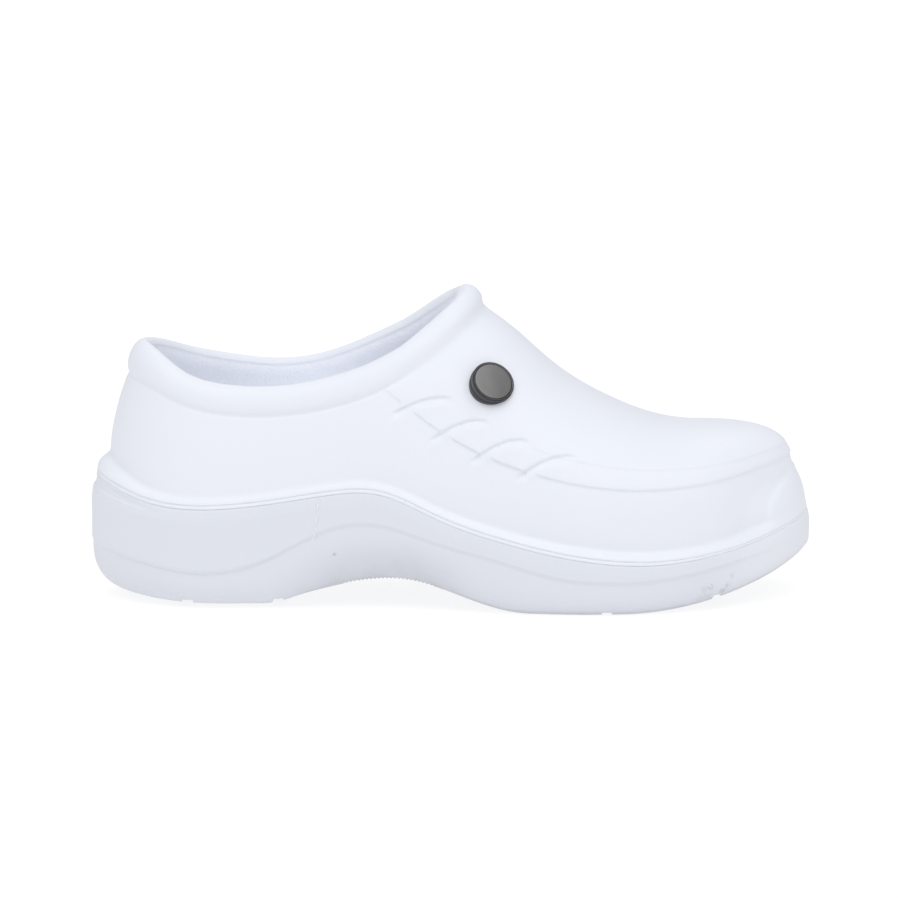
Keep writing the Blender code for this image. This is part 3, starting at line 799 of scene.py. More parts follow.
class Sole:
    """Stretches of the sole's skin, from the middle of its underside to the middle of the foot bed."""

    def __init__(self, sizes):
        self.sizes = sizes
        self.upper = Upper(sizes)

    def weight(self, plan):
        """Columns stand closer at the ribs, the channels' walls and the flash line."""
        x, y = plan.T
        weight = 1 + CUT_WEIGHT * ((x > RIB_FIRST) & (x < RIB_LAST))
        for channel in CHANNELS:
            weight = weight + CUT_WEIGHT * (np.abs(x - channel.station * LENGTH) < channel.width * MM)
        return weight + FLASH_WEIGHT * ((np.abs(x - FLASH_MIDDLE) < FLASH_NEAR) & (y < 0))

    def rim(self, turn):
        """Rim, its outward direction, and the bulge, crease step and crease height under it."""
        rim = edge(turn)
        x = rim[:, 0]
        fade = mixed(1, CREASE_AT_TOE, eased(part(x / LENGTH, CREASE_FADE)))
        fade = fade * mixed(CREASE_AT_HEEL, 1, eased(x / CREASE_HEEL))
        bulge = side_bulge(x) + TOE_SWELL * toe_share(x)
        return rim, edge_outward(turn), bulge, self.sizes.crease * fade, wave_height(x)

    def tread(self, points):
        """Cuts the channels and the arch's ribs into points near the ground."""
        x, z = points[:, 0], points[:, 2]
        near = eased(1 - (z - ground_height(x)) / RIB_FADE)
        zone = eased((x - RIB_FIRST) / RIB_FADE) * eased((RIB_LAST - x) / RIB_FADE)
        rib = self.sizes.rib_depth * (0.5 + 0.5 * np.cos(2 * math.pi * x / RIB_PITCH))
        z = z + rib * zone * near
        for channel in CHANNELS:
            middle = channel.station * LENGTH
            inside = soft_step(channel.width * MM / 2 - np.abs(x - middle), CHANNEL_WALL)
            floor = ground_height(middle) + heel_lift(middle) + channel.depth * MM
            z = z + np.clip(floor - z, 0, None) * inside
        return np.column_stack([points[:, :2], z])

    def under(self, turn, share):
        rim, out, bulge, crease, _ = self.rim(turn)
        end = rim + out * (bulge - crease - tuck_depth(rim[:, 0]))[:, None]
        plan = mixed(spine_of(turn), end, share)
        lift = heel_lift(end[:, 0]) * share**HEEL_LIFT_POWER
        return self.tread(np.column_stack([plan, ground_height(plan[:, 0]) + lift]))

    def lower(self, turn, share):
        """Side below the crease, which rounds under to the ground."""
        rim, out, bulge, crease, wave = self.rim(turn)
        x = rim[:, 0]
        angle = (1 - share) * math.pi / 2
        power = mixed(*SIDE_ROUND, eased(part(x / LENGTH, SIDE_TOE_PART)))
        tuck = tuck_depth(x) * (1 - np.cos(angle) ** power)
        plan = rim + out * (bulge - crease - tuck)[:, None]
        bottom = ground_height(plan[:, 0]) + heel_lift(plan[:, 0])
        height = mixed(wave - crease_tall(x), bottom, np.sin(angle) ** power)
        return self.marked(self.tread(np.column_stack([plan, height])), out)

    def crease(self, turn, share):
        """Soft step from the lower side out to the band, which overhangs it."""
        rim, out, bulge, crease, wave = self.rim(turn)
        dip = CREASE_DIP * crease / self.sizes.crease * np.sin(share * math.pi)
        plan = rim + out * (bulge - dip - crease * (1 - eased(share)))[:, None]
        return self.marked(np.column_stack([plan, wave - crease_tall(rim[:, 0]) * (1 - share)]), out)

    def band(self, turn, share):
        """Band from the crease up to the rounded shoulder at the joint."""
        rim, out, bulge, _, wave = self.rim(turn)
        x = rim[:, 0]
        joint = joint_height(x) - JOINT_GAP
        height = mixed(wave, joint, 1 - (1 - share) ** BAND_ROWS_POWER)
        drop = SHOULDER_DROP + HEEL_SHOULDER * heel_share(x)
        shoulder = np.clip((joint - height) / drop, 0, 1) ** SHOULDER_POWER
        lip = SHOULDER_LIP * self.sizes.bead_out + toe_lip(x)
        plan = rim + out * mixed(lip, bulge, shoulder)[:, None]
        return self.marked(np.column_stack([plan, height]), out)

    def flash(self, points):
        """Upright flash line on the little-toe side, from 0 to 1 on its ragged crest."""
        x, y, z = points.T
        wander, quick, slow = (np.sin(z * wave) for wave in FLASH_WAVES)
        line = FLASH_TOP - FLASH_LEAN * (FLASH_TOP_HEIGHT - z) + FLASH_WANDER * wander
        ragged = 1 - FLASH_RAGGED * (1 - quick * slow)
        crest = np.exp(-(((x - line) / FLASH_HALF) ** 2)) * ragged * (y < 0)
        return crest * soft_step(z - FLASH_LOW, FLASH_FADE)

    def push(self, points):
        """How far the heel shelf and the flash line stand out from the sole's side."""
        x, _, z = points.T
        shelf = soft_step(z - SHELF_HEIGHT + SHELF_FALL * x, SHELF_BLEND)
        shelf = shelf * eased(part(x, SHELF_PART)) * eased((joint_height(x) - z) / SHELF_TOP)
        return self.sizes.flash_height * self.flash(points) - self.sizes.shelf_step * shelf

    def marked(self, points, out):
        return points + np.column_stack([out * self.push(points)[:, None], np.zeros(len(points))])

    def seat(self, turn, share):
        rim = self.band(turn, np.ones(len(turn)))
        return np.column_stack([mixed(rim[:, :2], self.upper.root_line(turn), share), rim[:, 2]])

    def bed_outline(self, turn):
        return self.upper.root_line(turn) - edge_outward(turn) * CUP_FLARE

    def cup(self, turn, share):
        """Inner side of the cup, which flares from the foot bed to the seat."""
        bed = self.bed_outline(turn)
        angle = share * math.pi / 2
        plan = mixed(self.upper.root_line(turn), bed, 1 - np.cos(angle))
        joint = joint_height(edge(turn)[:, 0]) - JOINT_GAP
        return np.column_stack([plan, mixed(joint, bed_height(bed[:, 0]), np.sin(angle))])

    def bed(self, turn, share):
        plan = mixed(self.bed_outline(turn), spine_of(turn), share)
        return np.column_stack([plan, bed_height(plan[:, 0])])


class Insole:
    """Stretches of the insole's skin, from the middle of its underside to the middle of its top."""

    def __init__(self, sole):
        self.sole = sole

    def outline(self, turn, inset):
        inset = np.broadcast_to(INSOLE_INSET + inset, turn.shape)
        return self.sole.bed_outline(turn) - edge_outward(turn) * inset[:, None]

    def over_bed(self, plan, height):
        return np.column_stack([plan, bed_height(plan[:, 0]) + SEAT_GAP + height])

    def under(self, turn, share):
        return self.over_bed(mixed(spine_of(turn), self.outline(turn, 0.0), share), 0.0)

    def side(self, turn, share):
        inset, rise = rounded_edge(share, INSOLE_THICK, INSOLE_EDGE)
        return self.over_bed(self.outline(turn, inset), rise)

    def top(self, turn, share):
        plan = mixed(self.outline(turn, INSOLE_EDGE), spine_of(turn), share)
        return self.over_bed(plan, INSOLE_THICK)


class Badge:
    """Rings of the round badge, which sits on the form with its underside shaped to it."""

    SMALL = 0.5 * MM
    SEAT_PASSES = 12

    def __init__(self):
        self.plan = self.find_place()
        self.centre = closed_form(self.plan[None])[0]
        steps = self.SMALL * np.array([[1, 0], [-1, 0], [0, 1], [0, -1]])
        ahead, behind, left, right = closed_form(self.plan + steps)
        along = unit(ahead - behind)
        normal = unit(np.cross(along, left - right))
        upward = np.cross(normal, along)
        self.normal = unit(normal + along * math.tan(BADGE_LEAN) + upward * math.tan(BADGE_TIP))
        self.along = unit(along - self.normal * (along @ self.normal))
        self.across = np.cross(self.normal, self.along)

    def find_place(self):
        """Plan point on the little-toe side where the closed form has the badge's height."""
        x = BADGE_STATION * LENGTH
        middle = on_centre_line(np.array([x]))
        reach = np.array([[0.0, -float(half_width(x, -1.0))]])

        def above(share):
            return closed_form(middle + reach * share)[:, 2] > BADGE_HEIGHT

        return (middle + reach * last_inside(1, 1.0, above))[0]

    def ring(self, turn, radius, height):
        """Points of a circle at a height over the badge's seat plane."""
        ahead = np.outer(radius * np.cos(turn), self.along)
        sideways = np.outer(radius * np.sin(turn), self.across)
        lift = np.broadcast_to(BADGE_SEAT + height, turn.shape)
        return self.centre + ahead + sideways + np.outer(lift, self.normal)

    def seat(self, turn, radius):
        """Points of the underside, which follows the upper."""
        wanted = np.stack([radius * np.cos(turn), radius * np.sin(turn)], axis=-1)
        axes = np.stack([self.along, self.across], axis=-1)
        steps = closed_form(self.plan + self.SMALL * np.eye(2)) - self.centre
        back = np.linalg.inv((steps @ axes) / self.SMALL)
        plan = np.repeat(self.plan[None], len(turn), axis=0)
        for _ in range(self.SEAT_PASSES):
            plan = plan + (wanted - (closed_form(plan) - self.centre) @ axes) @ back
        return closed_form(plan) + self.normal * BADGE_SEAT

    def rim_under(self, turn, share):
        return self.seat(turn, BADGE_FOOT * share)

    def rim_wall(self, turn, share):
        """Outer wall, which widens from its foot and has a shallow step half way up."""
        top = BADGE_THICK - BADGE_BEVEL
        step = BADGE_STEP * eased(part(share, BADGE_STEP_PART))
        wide = self.ring(turn, BADGE_RADIUS, top)
        inward = self.ring(turn, BADGE_RADIUS - step, top) - wide
        return mixed(self.seat(turn, BADGE_FOOT), wide, share) + inward

    def rim_top(self, turn, share):
        """Rounded shoulder, flat lip with one fine groove, and the rounded edge of the recess."""
        shoulder = BADGE_BEVEL * (1 - rounded(share / LIP_SHOULDER))
        edge_drop = LIP_EDGE_DROP * (1 - rounded((1 - share) / LIP_EDGE))
        groove = LIP_GROOVE * np.exp(-(((share - LIP_GROOVE_AT) / LIP_GROOVE_HALF) ** 2))
        radius = mixed(BADGE_RADIUS - BADGE_STEP, LIP_INNER, share)
        return self.ring(turn, radius, BADGE_THICK - shoulder - edge_drop - groove)

    def rim_recess(self, turn, share):
        return self.ring(turn, LIP_INNER, mixed(BADGE_THICK - LIP_EDGE_DROP, RECESS_FLOOR, share))

    def rim_floor(self, turn, share):
        return self.ring(turn, LIP_INNER * (1 - share), RECESS_FLOOR)

    def face_under(self, turn, share):
        return self.ring(turn, FACE_RADIUS * share, FACE_FLOOR)

    def face_side(self, turn, share):
        inset, rise = rounded_edge(share, FACE_THICK, FACE_ROUND)
        return self.ring(turn, FACE_RADIUS - inset, FACE_FLOOR + rise)

    def face_top(self, turn, share):
        """Faintly dished disc."""
        dish = FACE_DISH * eased(share * 2)
        return self.ring(turn, (FACE_RADIUS - FACE_ROUND) * (1 - share), FACE_FLOOR + FACE_THICK - dish)


class Skin:
    """A mesh that starts as a flat grid and is shaped stretch by stretch, each with its own rows."""

    LEVEL = "level"
    SLACK = 1e-3
    WELD = 0.001 * MM

    def __init__(self, columns, stretches, weight=None):
        self.stretches = stretches
        self.ends = np.cumsum([0] + [rows for rows, _ in stretches])
        self.weight = weight
        self.mesh = bmesh.new()
        bmesh.ops.create_grid(self.mesh, x_segments=columns, y_segments=int(self.ends[-1]), size=0.5)
        bmesh.ops.translate(self.mesh, verts=self.mesh.verts, vec=(0.5, 0.5, 0))

    def places(self):
        """Turn round the shoe and level up the section, for each vertex of the flat grid."""
        flat = np.array([vert.co[:2] for vert in self.mesh.verts], float)
        if self.weight is None:
            turns = flat[:, 0] * 2 * math.pi
        else:
            turns = spaced_turns(flat[:, 0], self.weight)
        return turns, flat[:, 1] * self.ends[-1]

    def inside(self, level, index):
        """Vertices of one stretch, and their shares of it."""
        here = level >= self.ends[index] - self.SLACK
        if index < len(self.stretches) - 1:
            here &= level < self.ends[index + 1] - self.SLACK
        share = (level[here] - self.ends[index]) / self.stretches[index][0]
        return here, np.clip(share, 0, 1)

    def refine(self, index, height_of):
        """Cuts the edges of one stretch over which the relief changes, a few times over."""
        for _ in range(RELIEF_PASSES):
            turns, level = self.places()
            here, share = self.inside(level, index)
            height = np.zeros(len(turns))
            height[here] = height_of(turns[here], share)
            self.mesh.verts.index_update()
            steep = [
                line for line in self.mesh.edges
                if abs(height[line.verts[0].index] - height[line.verts[1].index]) > RELIEF_STEP
                and here[line.verts[0].index] and here[line.verts[1].index]
            ]
            bmesh.ops.subdivide_edges(self.mesh, edges=steep, cuts=1, use_grid_fill=True)

    def shape(self, middle, marks=None):
        """Moves the grid onto the form and closes it. Marks are functions of stretch, share and point."""
        turns, level = self.places()
        points = np.zeros((len(turns), 3))
        values = {name: np.zeros(len(turns)) for name in marks or {}}
        for index, (_, place) in enumerate(self.stretches):
            here, share = self.inside(level, index)
            points[here] = place(turns[here], share)
            for name, value_of in (marks or {}).items():
                values[name][here] = value_of(index, share, points[here])
        points -= middle
        values[self.LEVEL] = level
        layers = {name: self.mesh.verts.layers.float.new(name) for name in values}
        for i, vert in enumerate(self.mesh.verts):
            vert.co = points[i]
            for name, layer in layers.items():
                vert[layer] = values[name][i]
        bmesh.ops.remove_doubles(self.mesh, verts=self.mesh.verts, dist=self.WELD)
        bmesh.ops.dissolve_degenerate(self.mesh, dist=self.WELD / 2, edges=self.mesh.edges)

    def blend(self, index, rows, passes, share_of=lambda x: 1.0):
        """Rounds a strip along a stretch's first line, with more passes where a share is larger."""
        level = self.mesh.verts.layers.float[self.LEVEL]
        near = [vert for vert in self.mesh.verts if abs(vert[level] - self.ends[index]) < rows]
        shares = [float(share_of(vert.co.x)) for vert in near]
        for step in range(passes):
            chosen = [vert for vert, share in zip(near, shares) if share > step / passes]
            bmesh.ops.smooth_vert(
                self.mesh, verts=chosen, factor=0.5, use_axis_x=True, use_axis_y=True, use_axis_z=True
            )

    def finished(self):
        self.mesh.verts.layers.float.remove(self.mesh.verts.layers.float[self.LEVEL])
        bmesh.ops.recalc_face_normals(self.mesh, faces=self.mesh.faces)
        return self.mesh


def add_object(name, data):
    made = bpy.data.objects.new(name, data)
    bpy.context.scene.collection.objects.link(made)
    return made


def mesh_data(name, mesh, material):
    """Turns a finished bmesh into an object's mesh with one material."""
    data = bpy.data.meshes.new(name)
    mesh.to_mesh(data)
    mesh.free()
    data.materials.append(material)
    return data


def add_piece(name, mesh, material, node, slot):
    """Makes an object of a finished mesh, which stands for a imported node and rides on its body."""
    data = mesh_data(name, mesh, material)
    data.shade_smooth()
    piece = add_object(name, data)
    low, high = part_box(node)
    corners = np.array([vert.co for vert in data.vertices])
    off = max(np.abs(corners.min(axis=0) - low).max(), np.abs(corners.max(axis=0) - high).max())
    if off > BOX_TOLERANCE:
        raise RuntimeError(f"{name} lies {off / MM:.1f} mm off the box of {node}")
    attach(piece, "root")
    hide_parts(node)
    return piece


class Value:
    """A socket of a surface's nodes, for sums written in plain Python."""

    def __init__(self, surface, socket):
        self.surface = surface
        self.socket = socket

    def sum(self, operation, first, second):
        return self.surface.node("ShaderNodeMath", {"operation": operation}, {0: first, 1: second})

    def __add__(self, other):
        return self.sum("ADD", self, other)

    def __sub__(self, other):
        return self.sum("SUBTRACT", self, other)

    def __rsub__(self, other):
        return self.sum("SUBTRACT", other, self)

    def __mul__(self, other):
        return self.sum("MULTIPLY", self, other)

    __radd__ = __add__
    __rmul__ = __mul__


class Surface:
    """One material: its shader, and one method that adds any node to it."""

    def __init__(self, name):
        self.material = bpy.data.materials.new(name)
        self.material.use_nodes = True
        self.tree = self.material.node_tree
        self.shader = self.tree.nodes["Principled BSDF"]

    def feed(self, socket, value):
        if isinstance(value, Value):
            self.tree.links.new(value.socket, socket)
        else:
            socket.default_value = value

    def node(self, kind, settings, sockets, output=0):
        """Adds a node, sets it up, feeds its sockets and returns one of its outputs."""
        made = self.tree.nodes.new(kind)
        for setting, value in settings.items():
            setattr(made, setting, value)
        for socket, value in sockets.items():
            self.feed(made.inputs[socket], value)
        return Value(self, made.outputs[output])

    def place(self):
        return self.node("ShaderNodeTexCoord", {}, {}, "Object")

    def noise(self, size, detail=2.0):
        """Soft random field from 0 to 1, with features of one size in metres."""
        sockets = {"Vector": self.place(), "Scale": 1 / size, "Detail": detail}
        return self.node("ShaderNodeTexNoise", {}, sockets, "Fac")

    def ramp(self, value, low, high):
        """0 below one bound and 1 above the other, eased between them."""
        sockets = {"Value": value, "From Min": low, "From Max": high}
        return self.node("ShaderNodeMapRange", {"interpolation_type": "SMOOTHSTEP"}, sockets)

    def mark(self, name):
        return self.node("ShaderNodeAttribute", {"attribute_name": name}, {}, "Fac")

    def mix(self, factor, first, second):
        """Blend of two colours."""
        sockets = {0: factor, 6: first, 7: second}
        return self.node("ShaderNodeMix", {"data_type": "RGBA"}, sockets, 2)

    def spot(self, centre, radius):
        """1 inside a small round spot, fading to 0 at its edge."""
        sockets = {0: self.place(), 1: centre}
        distance = self.node("ShaderNodeVectorMath", {"operation": "DISTANCE"}, sockets, "Value")
        return self.ramp(distance, radius, radius * SCUFF_CORE)

    def finish(self, colour, roughness, height, depth):
        """Feeds the shader: colour, roughness, and a bump whose height is in shares of a depth."""
        sockets = {"Strength": 1.0, "Distance": depth, "Height": height}
        self.feed(self.shader.inputs["Base Color"], colour)
        self.feed(self.shader.inputs["Roughness"], roughness)
        self.feed(self.shader.inputs["Normal"], self.node("ShaderNodeBump", {}, sockets, "Normal"))
        return self.material


def rgba(colour, share=1.0):
    """A colour, or a darker or lighter share of it, as a socket takes it."""
    return (*(channel * share for channel in colour), 1.0)


def upper_foam(looks):
    """Matt white foam with a fine moulded skin, and a coarse speckled lining inside, painted paler than
    the shell as painted light for the light that comes through the thin foam.
    """
    surface = Surface("upper_foam")
    lining = surface.mark("lining")
    tone = surface.noise(45 * MM, 3.0)
    speckle = surface.ramp(surface.noise(SPECKLE, 3.0), *SPECKLE_PART)
    shell = surface.mix(tone, rgba(looks.foam), rgba(looks.foam, TONE_SHADE))
    # Painted light: the lining's colour is paler than the shell's
    grainy = surface.mix(speckle, rgba(looks.lining, SPECKLE_SHADE), rgba(looks.lining))
    colour = surface.mix(lining, shell, grainy)
    roughness = looks.foam_roughness + TONE_GLOSS * (tone - 0.5) + LINING_GLOSS * lining
    height = GRAIN_BUMP * surface.noise(GRAIN) * (1 - lining) + SPECKLE_BUMP * speckle * lining
    return surface.finish(colour, roughness, height, BUMP_DEPTH)


# Specks, scuffs and a stain on the sole's little-toe side, in millimetres on the shoe
#   radius  size of the spot before its edge is broken up
#   dark    how much it darkens
#   warm    how far its colour lies from the grey of a speck to that of grime
Scuff = namedtuple("Scuff", "x y z radius dark warm")
SCUFFS = (
    Scuff(90.9, -39.4, 21.7, 0.9, 0.60, 0.0),
    Scuff(89.4, -39.3, 20.9, 0.7, 0.40, 0.0),
    Scuff(230.9, -40.6, 9.8, 1.5, 0.40, 0.0),
    Scuff(229.2, -40.6, 7.4, 4.6, 0.20, 1.0),
    Scuff(235.6, -37.0, 7.4, 2.0, 0.45, 0.6),
    Scuff(237.5, -36.6, 9.2, 2.0, 0.30, 0.3),
    Scuff(239.2, -36.0, 13.2, 1.6, 0.30, 0.2),
)


def sole_foam(looks, middle):
    """Matt white foam with a few specks and scuffs, painted darker than the upper as shade, darker still
    near the floor from grime and painted shade, and paler at both ends from painted light.
    """
    surface = Surface("sole_foam")
    tone = surface.noise(40 * MM, 3.0)
    # Grime and painted shade: darker along the lower edge and under the arch
    grime_and_shade = surface.mark("grime_and_shade") * (GRIME_AND_SHADE_LEAST + GRIME_AND_SHADE_SWING * surface.noise(9 * MM, 4.0))
    # Painted shade: the sole's colour is a darker copy of the upper's foam
    colour = surface.mix(tone, rgba(looks.sole), rgba(looks.sole, TONE_SHADE))
    # Painted light: both ends of the sole are lightened towards the flash colour
    colour = surface.mix(PAINTED_LIGHT_MIX * surface.mark("pale"), colour, rgba(looks.flash))
    # Flash line's crest: partly a pale stress mark, partly a painted highlight
    colour = surface.mix(FLASH_MIX * surface.mark("flash"), colour, rgba(looks.flash))
    colour = surface.mix(looks.grime_and_shade * grime_and_shade, colour, rgba(looks.dirt_and_shade))
    broken = surface.ramp(surface.noise(SCUFF_GRAIN, 3.0), *SCUFF_PART)
    for scuff in SCUFFS:
        centre = np.array([scuff.x, scuff.y, scuff.z]) * MM - middle
        shade = mixed(np.array(looks.speck), np.array(looks.dirt_and_shade), scuff.warm)
        smudge = surface.spot(tuple(centre), scuff.radius * MM) * broken
        colour = surface.mix(scuff.dark * smudge, colour, rgba(shade))
    roughness = looks.sole_roughness + TONE_GLOSS * (tone - 0.5)
    return surface.finish(colour, roughness, GRAIN_BUMP * surface.noise(GRAIN), BUMP_DEPTH)


def insole_foam(looks):
    """Soft foam with a dimpled top."""
    surface = Surface("insole_foam")
    tone = surface.noise(30 * MM, 3.0)
    sockets = {"Vector": surface.place(), "Scale": 1 / DIMPLE, "Randomness": DIMPLE_RANDOM}
    cell = surface.node("ShaderNodeTexVoronoi", {"feature": "F1"}, sockets, "Distance")
    colour = surface.mix(tone, rgba(looks.insole), rgba(looks.insole, INSOLE_SHADE))
    roughness = INSOLE_ROUGHNESS + INSOLE_GLOSS * tone
    return surface.finish(colour, roughness, surface.ramp(cell, *DIMPLE_PART), DIMPLE_DEPTH)


def badge_plastic(name, colour, fade, roughness, grain, depth):
    """Dark plastic with a fine grain and a painted sheen, lighter towards the heel between two shares of
    its colour, with a painted highlight where marked.
    """
    surface = Surface(name)
    fine = surface.noise(grain)
    along = surface.node("ShaderNodeSeparateXYZ", {}, {"Vector": surface.place()}, "X")
    # Painted sheen, lighter towards the heel, mixed with random tone
    light = BADGE_SHEEN_SHARE * surface.ramp(along, *BADGE_SHEEN_PART)
    light = light + (1 - BADGE_SHEEN_SHARE) * surface.noise(6 * MM, 3.0)
    shade = surface.mix(light, rgba(colour, fade[0]), rgba(colour, fade[1]))
    # Painted highlight along the marked edge
    shade = surface.mix(PAINTED_HIGHLIGHT_MIX * surface.mark("line"), shade, rgba(PAINTED_HIGHLIGHT_GREY))
    return surface.finish(shade, roughness + BADGE_GLOSS * (fine - 0.5), fine, depth)


def length_prop(name, description, default):
    return bpy.props.FloatProperty(name=name, description=description, default=default, unit="LENGTH")


def angle_prop(name, description, degrees):
    default = math.radians(degrees)
    return bpy.props.FloatProperty(name=name, description=description, default=default, unit="ROTATION")


def colour_prop(name, description, default):
    return bpy.props.FloatVectorProperty(
        name=name, description=description, default=default, subtype="COLOR"
    )


def share_prop(name, description, default):
    return bpy.props.FloatProperty(name=name, description=description, default=default, subtype="FACTOR")


def strength_prop(name, description, default, unit="NONE"):
    return bpy.props.FloatProperty(name=name, description=description, default=default, unit=unit)


class ClogSizes(bpy.types.PropertyGroup):
    """Sizes of the low relief on the skins."""

    apron_step: length_prop("Apron Step", "How far the apron stands out", 1.1 * MM)
    band_step: length_prop("Band Step", "Share of the apron's step at its upper line", 0.32 * MM)
    hook_depth: length_prop("Hook Depth", "Depth of the hooked slashes", 0.9 * MM)
    bead_out: length_prop("Bead", "How far the flash bead stands out at the joint", 0.15 * MM)
    bead_groove: length_prop("Bead Groove", "Depth of the fine groove over the bead", 0.36 * MM)
    crease: length_prop("Crease", "Step of the wavy crease on the sole's side", 0.7 * MM)
    shelf_step: length_prop("Heel Shelf", "Step of the soft shelf round the sole's heel", 0.7 * MM)
    flash_height: length_prop("Flash Line", "Height of the upright flash line", 0.8 * MM)
    rib_depth: length_prop("Rib Depth", "Depth of the fine ribs across the arch", 0.5 * MM)


class ClogLooks(bpy.types.PropertyGroup):
    """Colours and gloss of the finishes."""

    foam: colour_prop("Upper", "Colour of the upper's foam", (0.785, 0.808, 0.868))
    # Painted light: the lining is the same foam, painted paler for the light that comes through the thin
    # foam
    lining: colour_prop("Lining", "Colour of the speckled inside", (0.85, 0.87, 0.945))
    # Painted shade: the sole is the upper's foam, given a darker colour for its shaded side
    sole: colour_prop("Sole", "Colour of the sole's foam", (0.70, 0.722, 0.787))
    # Colour of real stains, also used as painted shade along the lower edge and under the arch
    dirt_and_shade: colour_prop("Dirt", "Colour of the grime near the floor", (0.385, 0.392, 0.415))
    speck: colour_prop("Speck", "Colour of specks and scuffs", (0.30, 0.31, 0.34))
    # Paler colour of the flash line's crest, partly a stress mark and partly a painted highlight; also
    # painted light on the sole's ends
    flash: colour_prop("Flash", "Colour of the rubbed crest of the flash line", (0.88, 0.90, 0.93))
    insole: colour_prop("Insole", "Colour of the insole", (0.88, 0.90, 0.93))
    badge_rim: colour_prop("Badge Rim", "Colour of the badge's rim", (0.02, 0.02, 0.026))
    badge_face: colour_prop("Badge Face", "Colour of the badge's disc", (0.15, 0.145, 0.145))
    # How strong the grime and painted shade are along the sole's lower edge and under the arch
    grime_and_shade: share_prop("Grime", "How much grime lies along the sole's lower edge", 0.65)
    foam_roughness: share_prop("Upper Roughness", "Roughness of the upper's foam", 0.52)
    sole_roughness: share_prop("Sole Roughness", "Roughness of the sole's foam", 0.56)


class ClogStage(bpy.types.PropertyGroup):
    """Camera and light of the studio."""

    distance: length_prop("Distance", "Camera's distance to the middle of the shoe", 1.7)
    elevation: angle_prop("Elevation", "Camera's angle over the horizon", 9)
    aim_height: length_prop("Aim Height", "Height of the point in the middle of the picture", 54.8 * MM)
    shoe_share: share_prop("Shoe in Frame", "Share of the picture's width that the shoe takes", 0.797)
    key: strength_prop("Key", "Strength of each broad light over the camera", 0.765)
    key_elevation: angle_prop("Key Elevation", "Key light's angle over the horizon", 52)
    key_turn: angle_prop("Key Turn", "Angle of each key light from the camera's direction", 35)
    top: strength_prop("Top", "Strength of the broad light over the back", 0.36)
    top_elevation: angle_prop("Top Elevation", "Angle of that light from the camera's horizon", 120)
    spread: angle_prop("Spread", "How broad these lights are, as an angle", 50)
    room: strength_prop("Room", "Strength of the even light all round", 0.58)
    room_tint: colour_prop("Room Tint", "Colour of the even light", (0.975, 0.985, 1.0))
    inside: strength_prop("Inside", "Power of the small light inside the shoe", 0.0135, "POWER")
    floor_glow: strength_prop("Floor Glow", "Light that the floor gives off by itself", 0.775)


class CLOG_OT_upper(bpy.types.Operator):
    """Adds the upper's skin: ledge, wall, apron, hooks, toe bumper, collar roll and lining"""

    bl_idname = "clog.upper"
    bl_label = "Add Upper"

    def execute(self, context):
        upper = Upper(context.scene.clog_sizes)
        stretches = (
            (24, upper.foot), (64, upper.outer), (44, upper.roll), (20, upper.inner), (2, upper.seat),
        )
        wall, roll = 1, 2

        def relief(turn, share):
            return upper_relief(upper.plain(turn, share)[0], upper.sizes)

        def lining(index, share, points):
            if index == roll:
                return eased(part(roll_degrees(share), LINING_DEGREES))
            return float(index > roll)

        skin = Skin(UPPER_COLUMNS, stretches, weight=even_weight)
        skin.refine(wall, relief)
        middle = shoe_middle()
        skin.shape(middle, marks={"lining": lining})
        skin.blend(roll, GROOVE_ROWS, GROOVE_PASSES)
        ahead = middle[0] + THROAT_LEAD
        skin.blend(roll, THROAT_ROWS, THROAT_PASSES, lambda x: throat_share(x + ahead))
        material = upper_foam(context.scene.clog_looks)
        add_piece("upper_skin", skin.finished(), material, "upper", "upper_foam")
        return {"FINISHED"}


class CLOG_OT_sole(bpy.types.Operator):
    """Adds the sole's skin: tread channels, arch ribs, rounded side, wavy crease, band and cup"""

    bl_idname = "clog.sole"
    bl_label = "Add Sole"

    def execute(self, context):
        sole = Sole(context.scene.clog_sizes)
        stretches = (
            (10, sole.under), (16, sole.lower), (6, sole.crease), (22, sole.band), (2, sole.seat),
            (6, sole.cup), (3, sole.bed),
        )
        middle = shoe_middle()
        under, lower, crease, band = 0, 1, 2, 3

        def grime_and_shade(index, share, points):
            """Grime and painted shade, most along the lower edge, and painted shade reaching wider under
            the arch.
            """
            if index != lower:
                return float(index == under)
            x, _, z = points.T
            ground = ground_height(x)
            # low and line: grime and painted shade along the lower edge; wide: painted shade under the
            # arch
            low, wide, line = (part(z - ground, (tall, 0)) for tall in (LOW_EDGE, ARCH_EDGE, LOW_LINE))
            arch = np.clip(ground / ARCH_RISE, 0, 1) * eased(part(x, ARCH_SHADE_PART))
            return np.clip(low**LOW_POWER + ARCH_SHADE * arch * wide + line, 0, 1)

        def pale(index, share, points):
            """Both ends of the sole, lightened as painted light."""
            station = points[:, 0] / LENGTH
            return eased(part(station, PAINTED_LIGHT_TOE)) + PAINTED_LIGHT_HEEL_SHARE * eased(1 - station / PAINTED_LIGHT_HEEL)

        def flash(index, share, points):
            return sole.flash(points) * (index in (lower, crease, band))

        skin = Skin(SOLE_COLUMNS, stretches, weight=sole.weight)
        skin.refine(band, lambda turn, share: sole.push(sole.band(turn, share)))
        skin.shape(middle, marks={"grime_and_shade": grime_and_shade, "flash": flash, "pale": pale})
        material = sole_foam(context.scene.clog_looks, middle)
        add_piece("sole_skin", skin.finished(), material, "sole", "sole_foam")
        return {"FINISHED"}


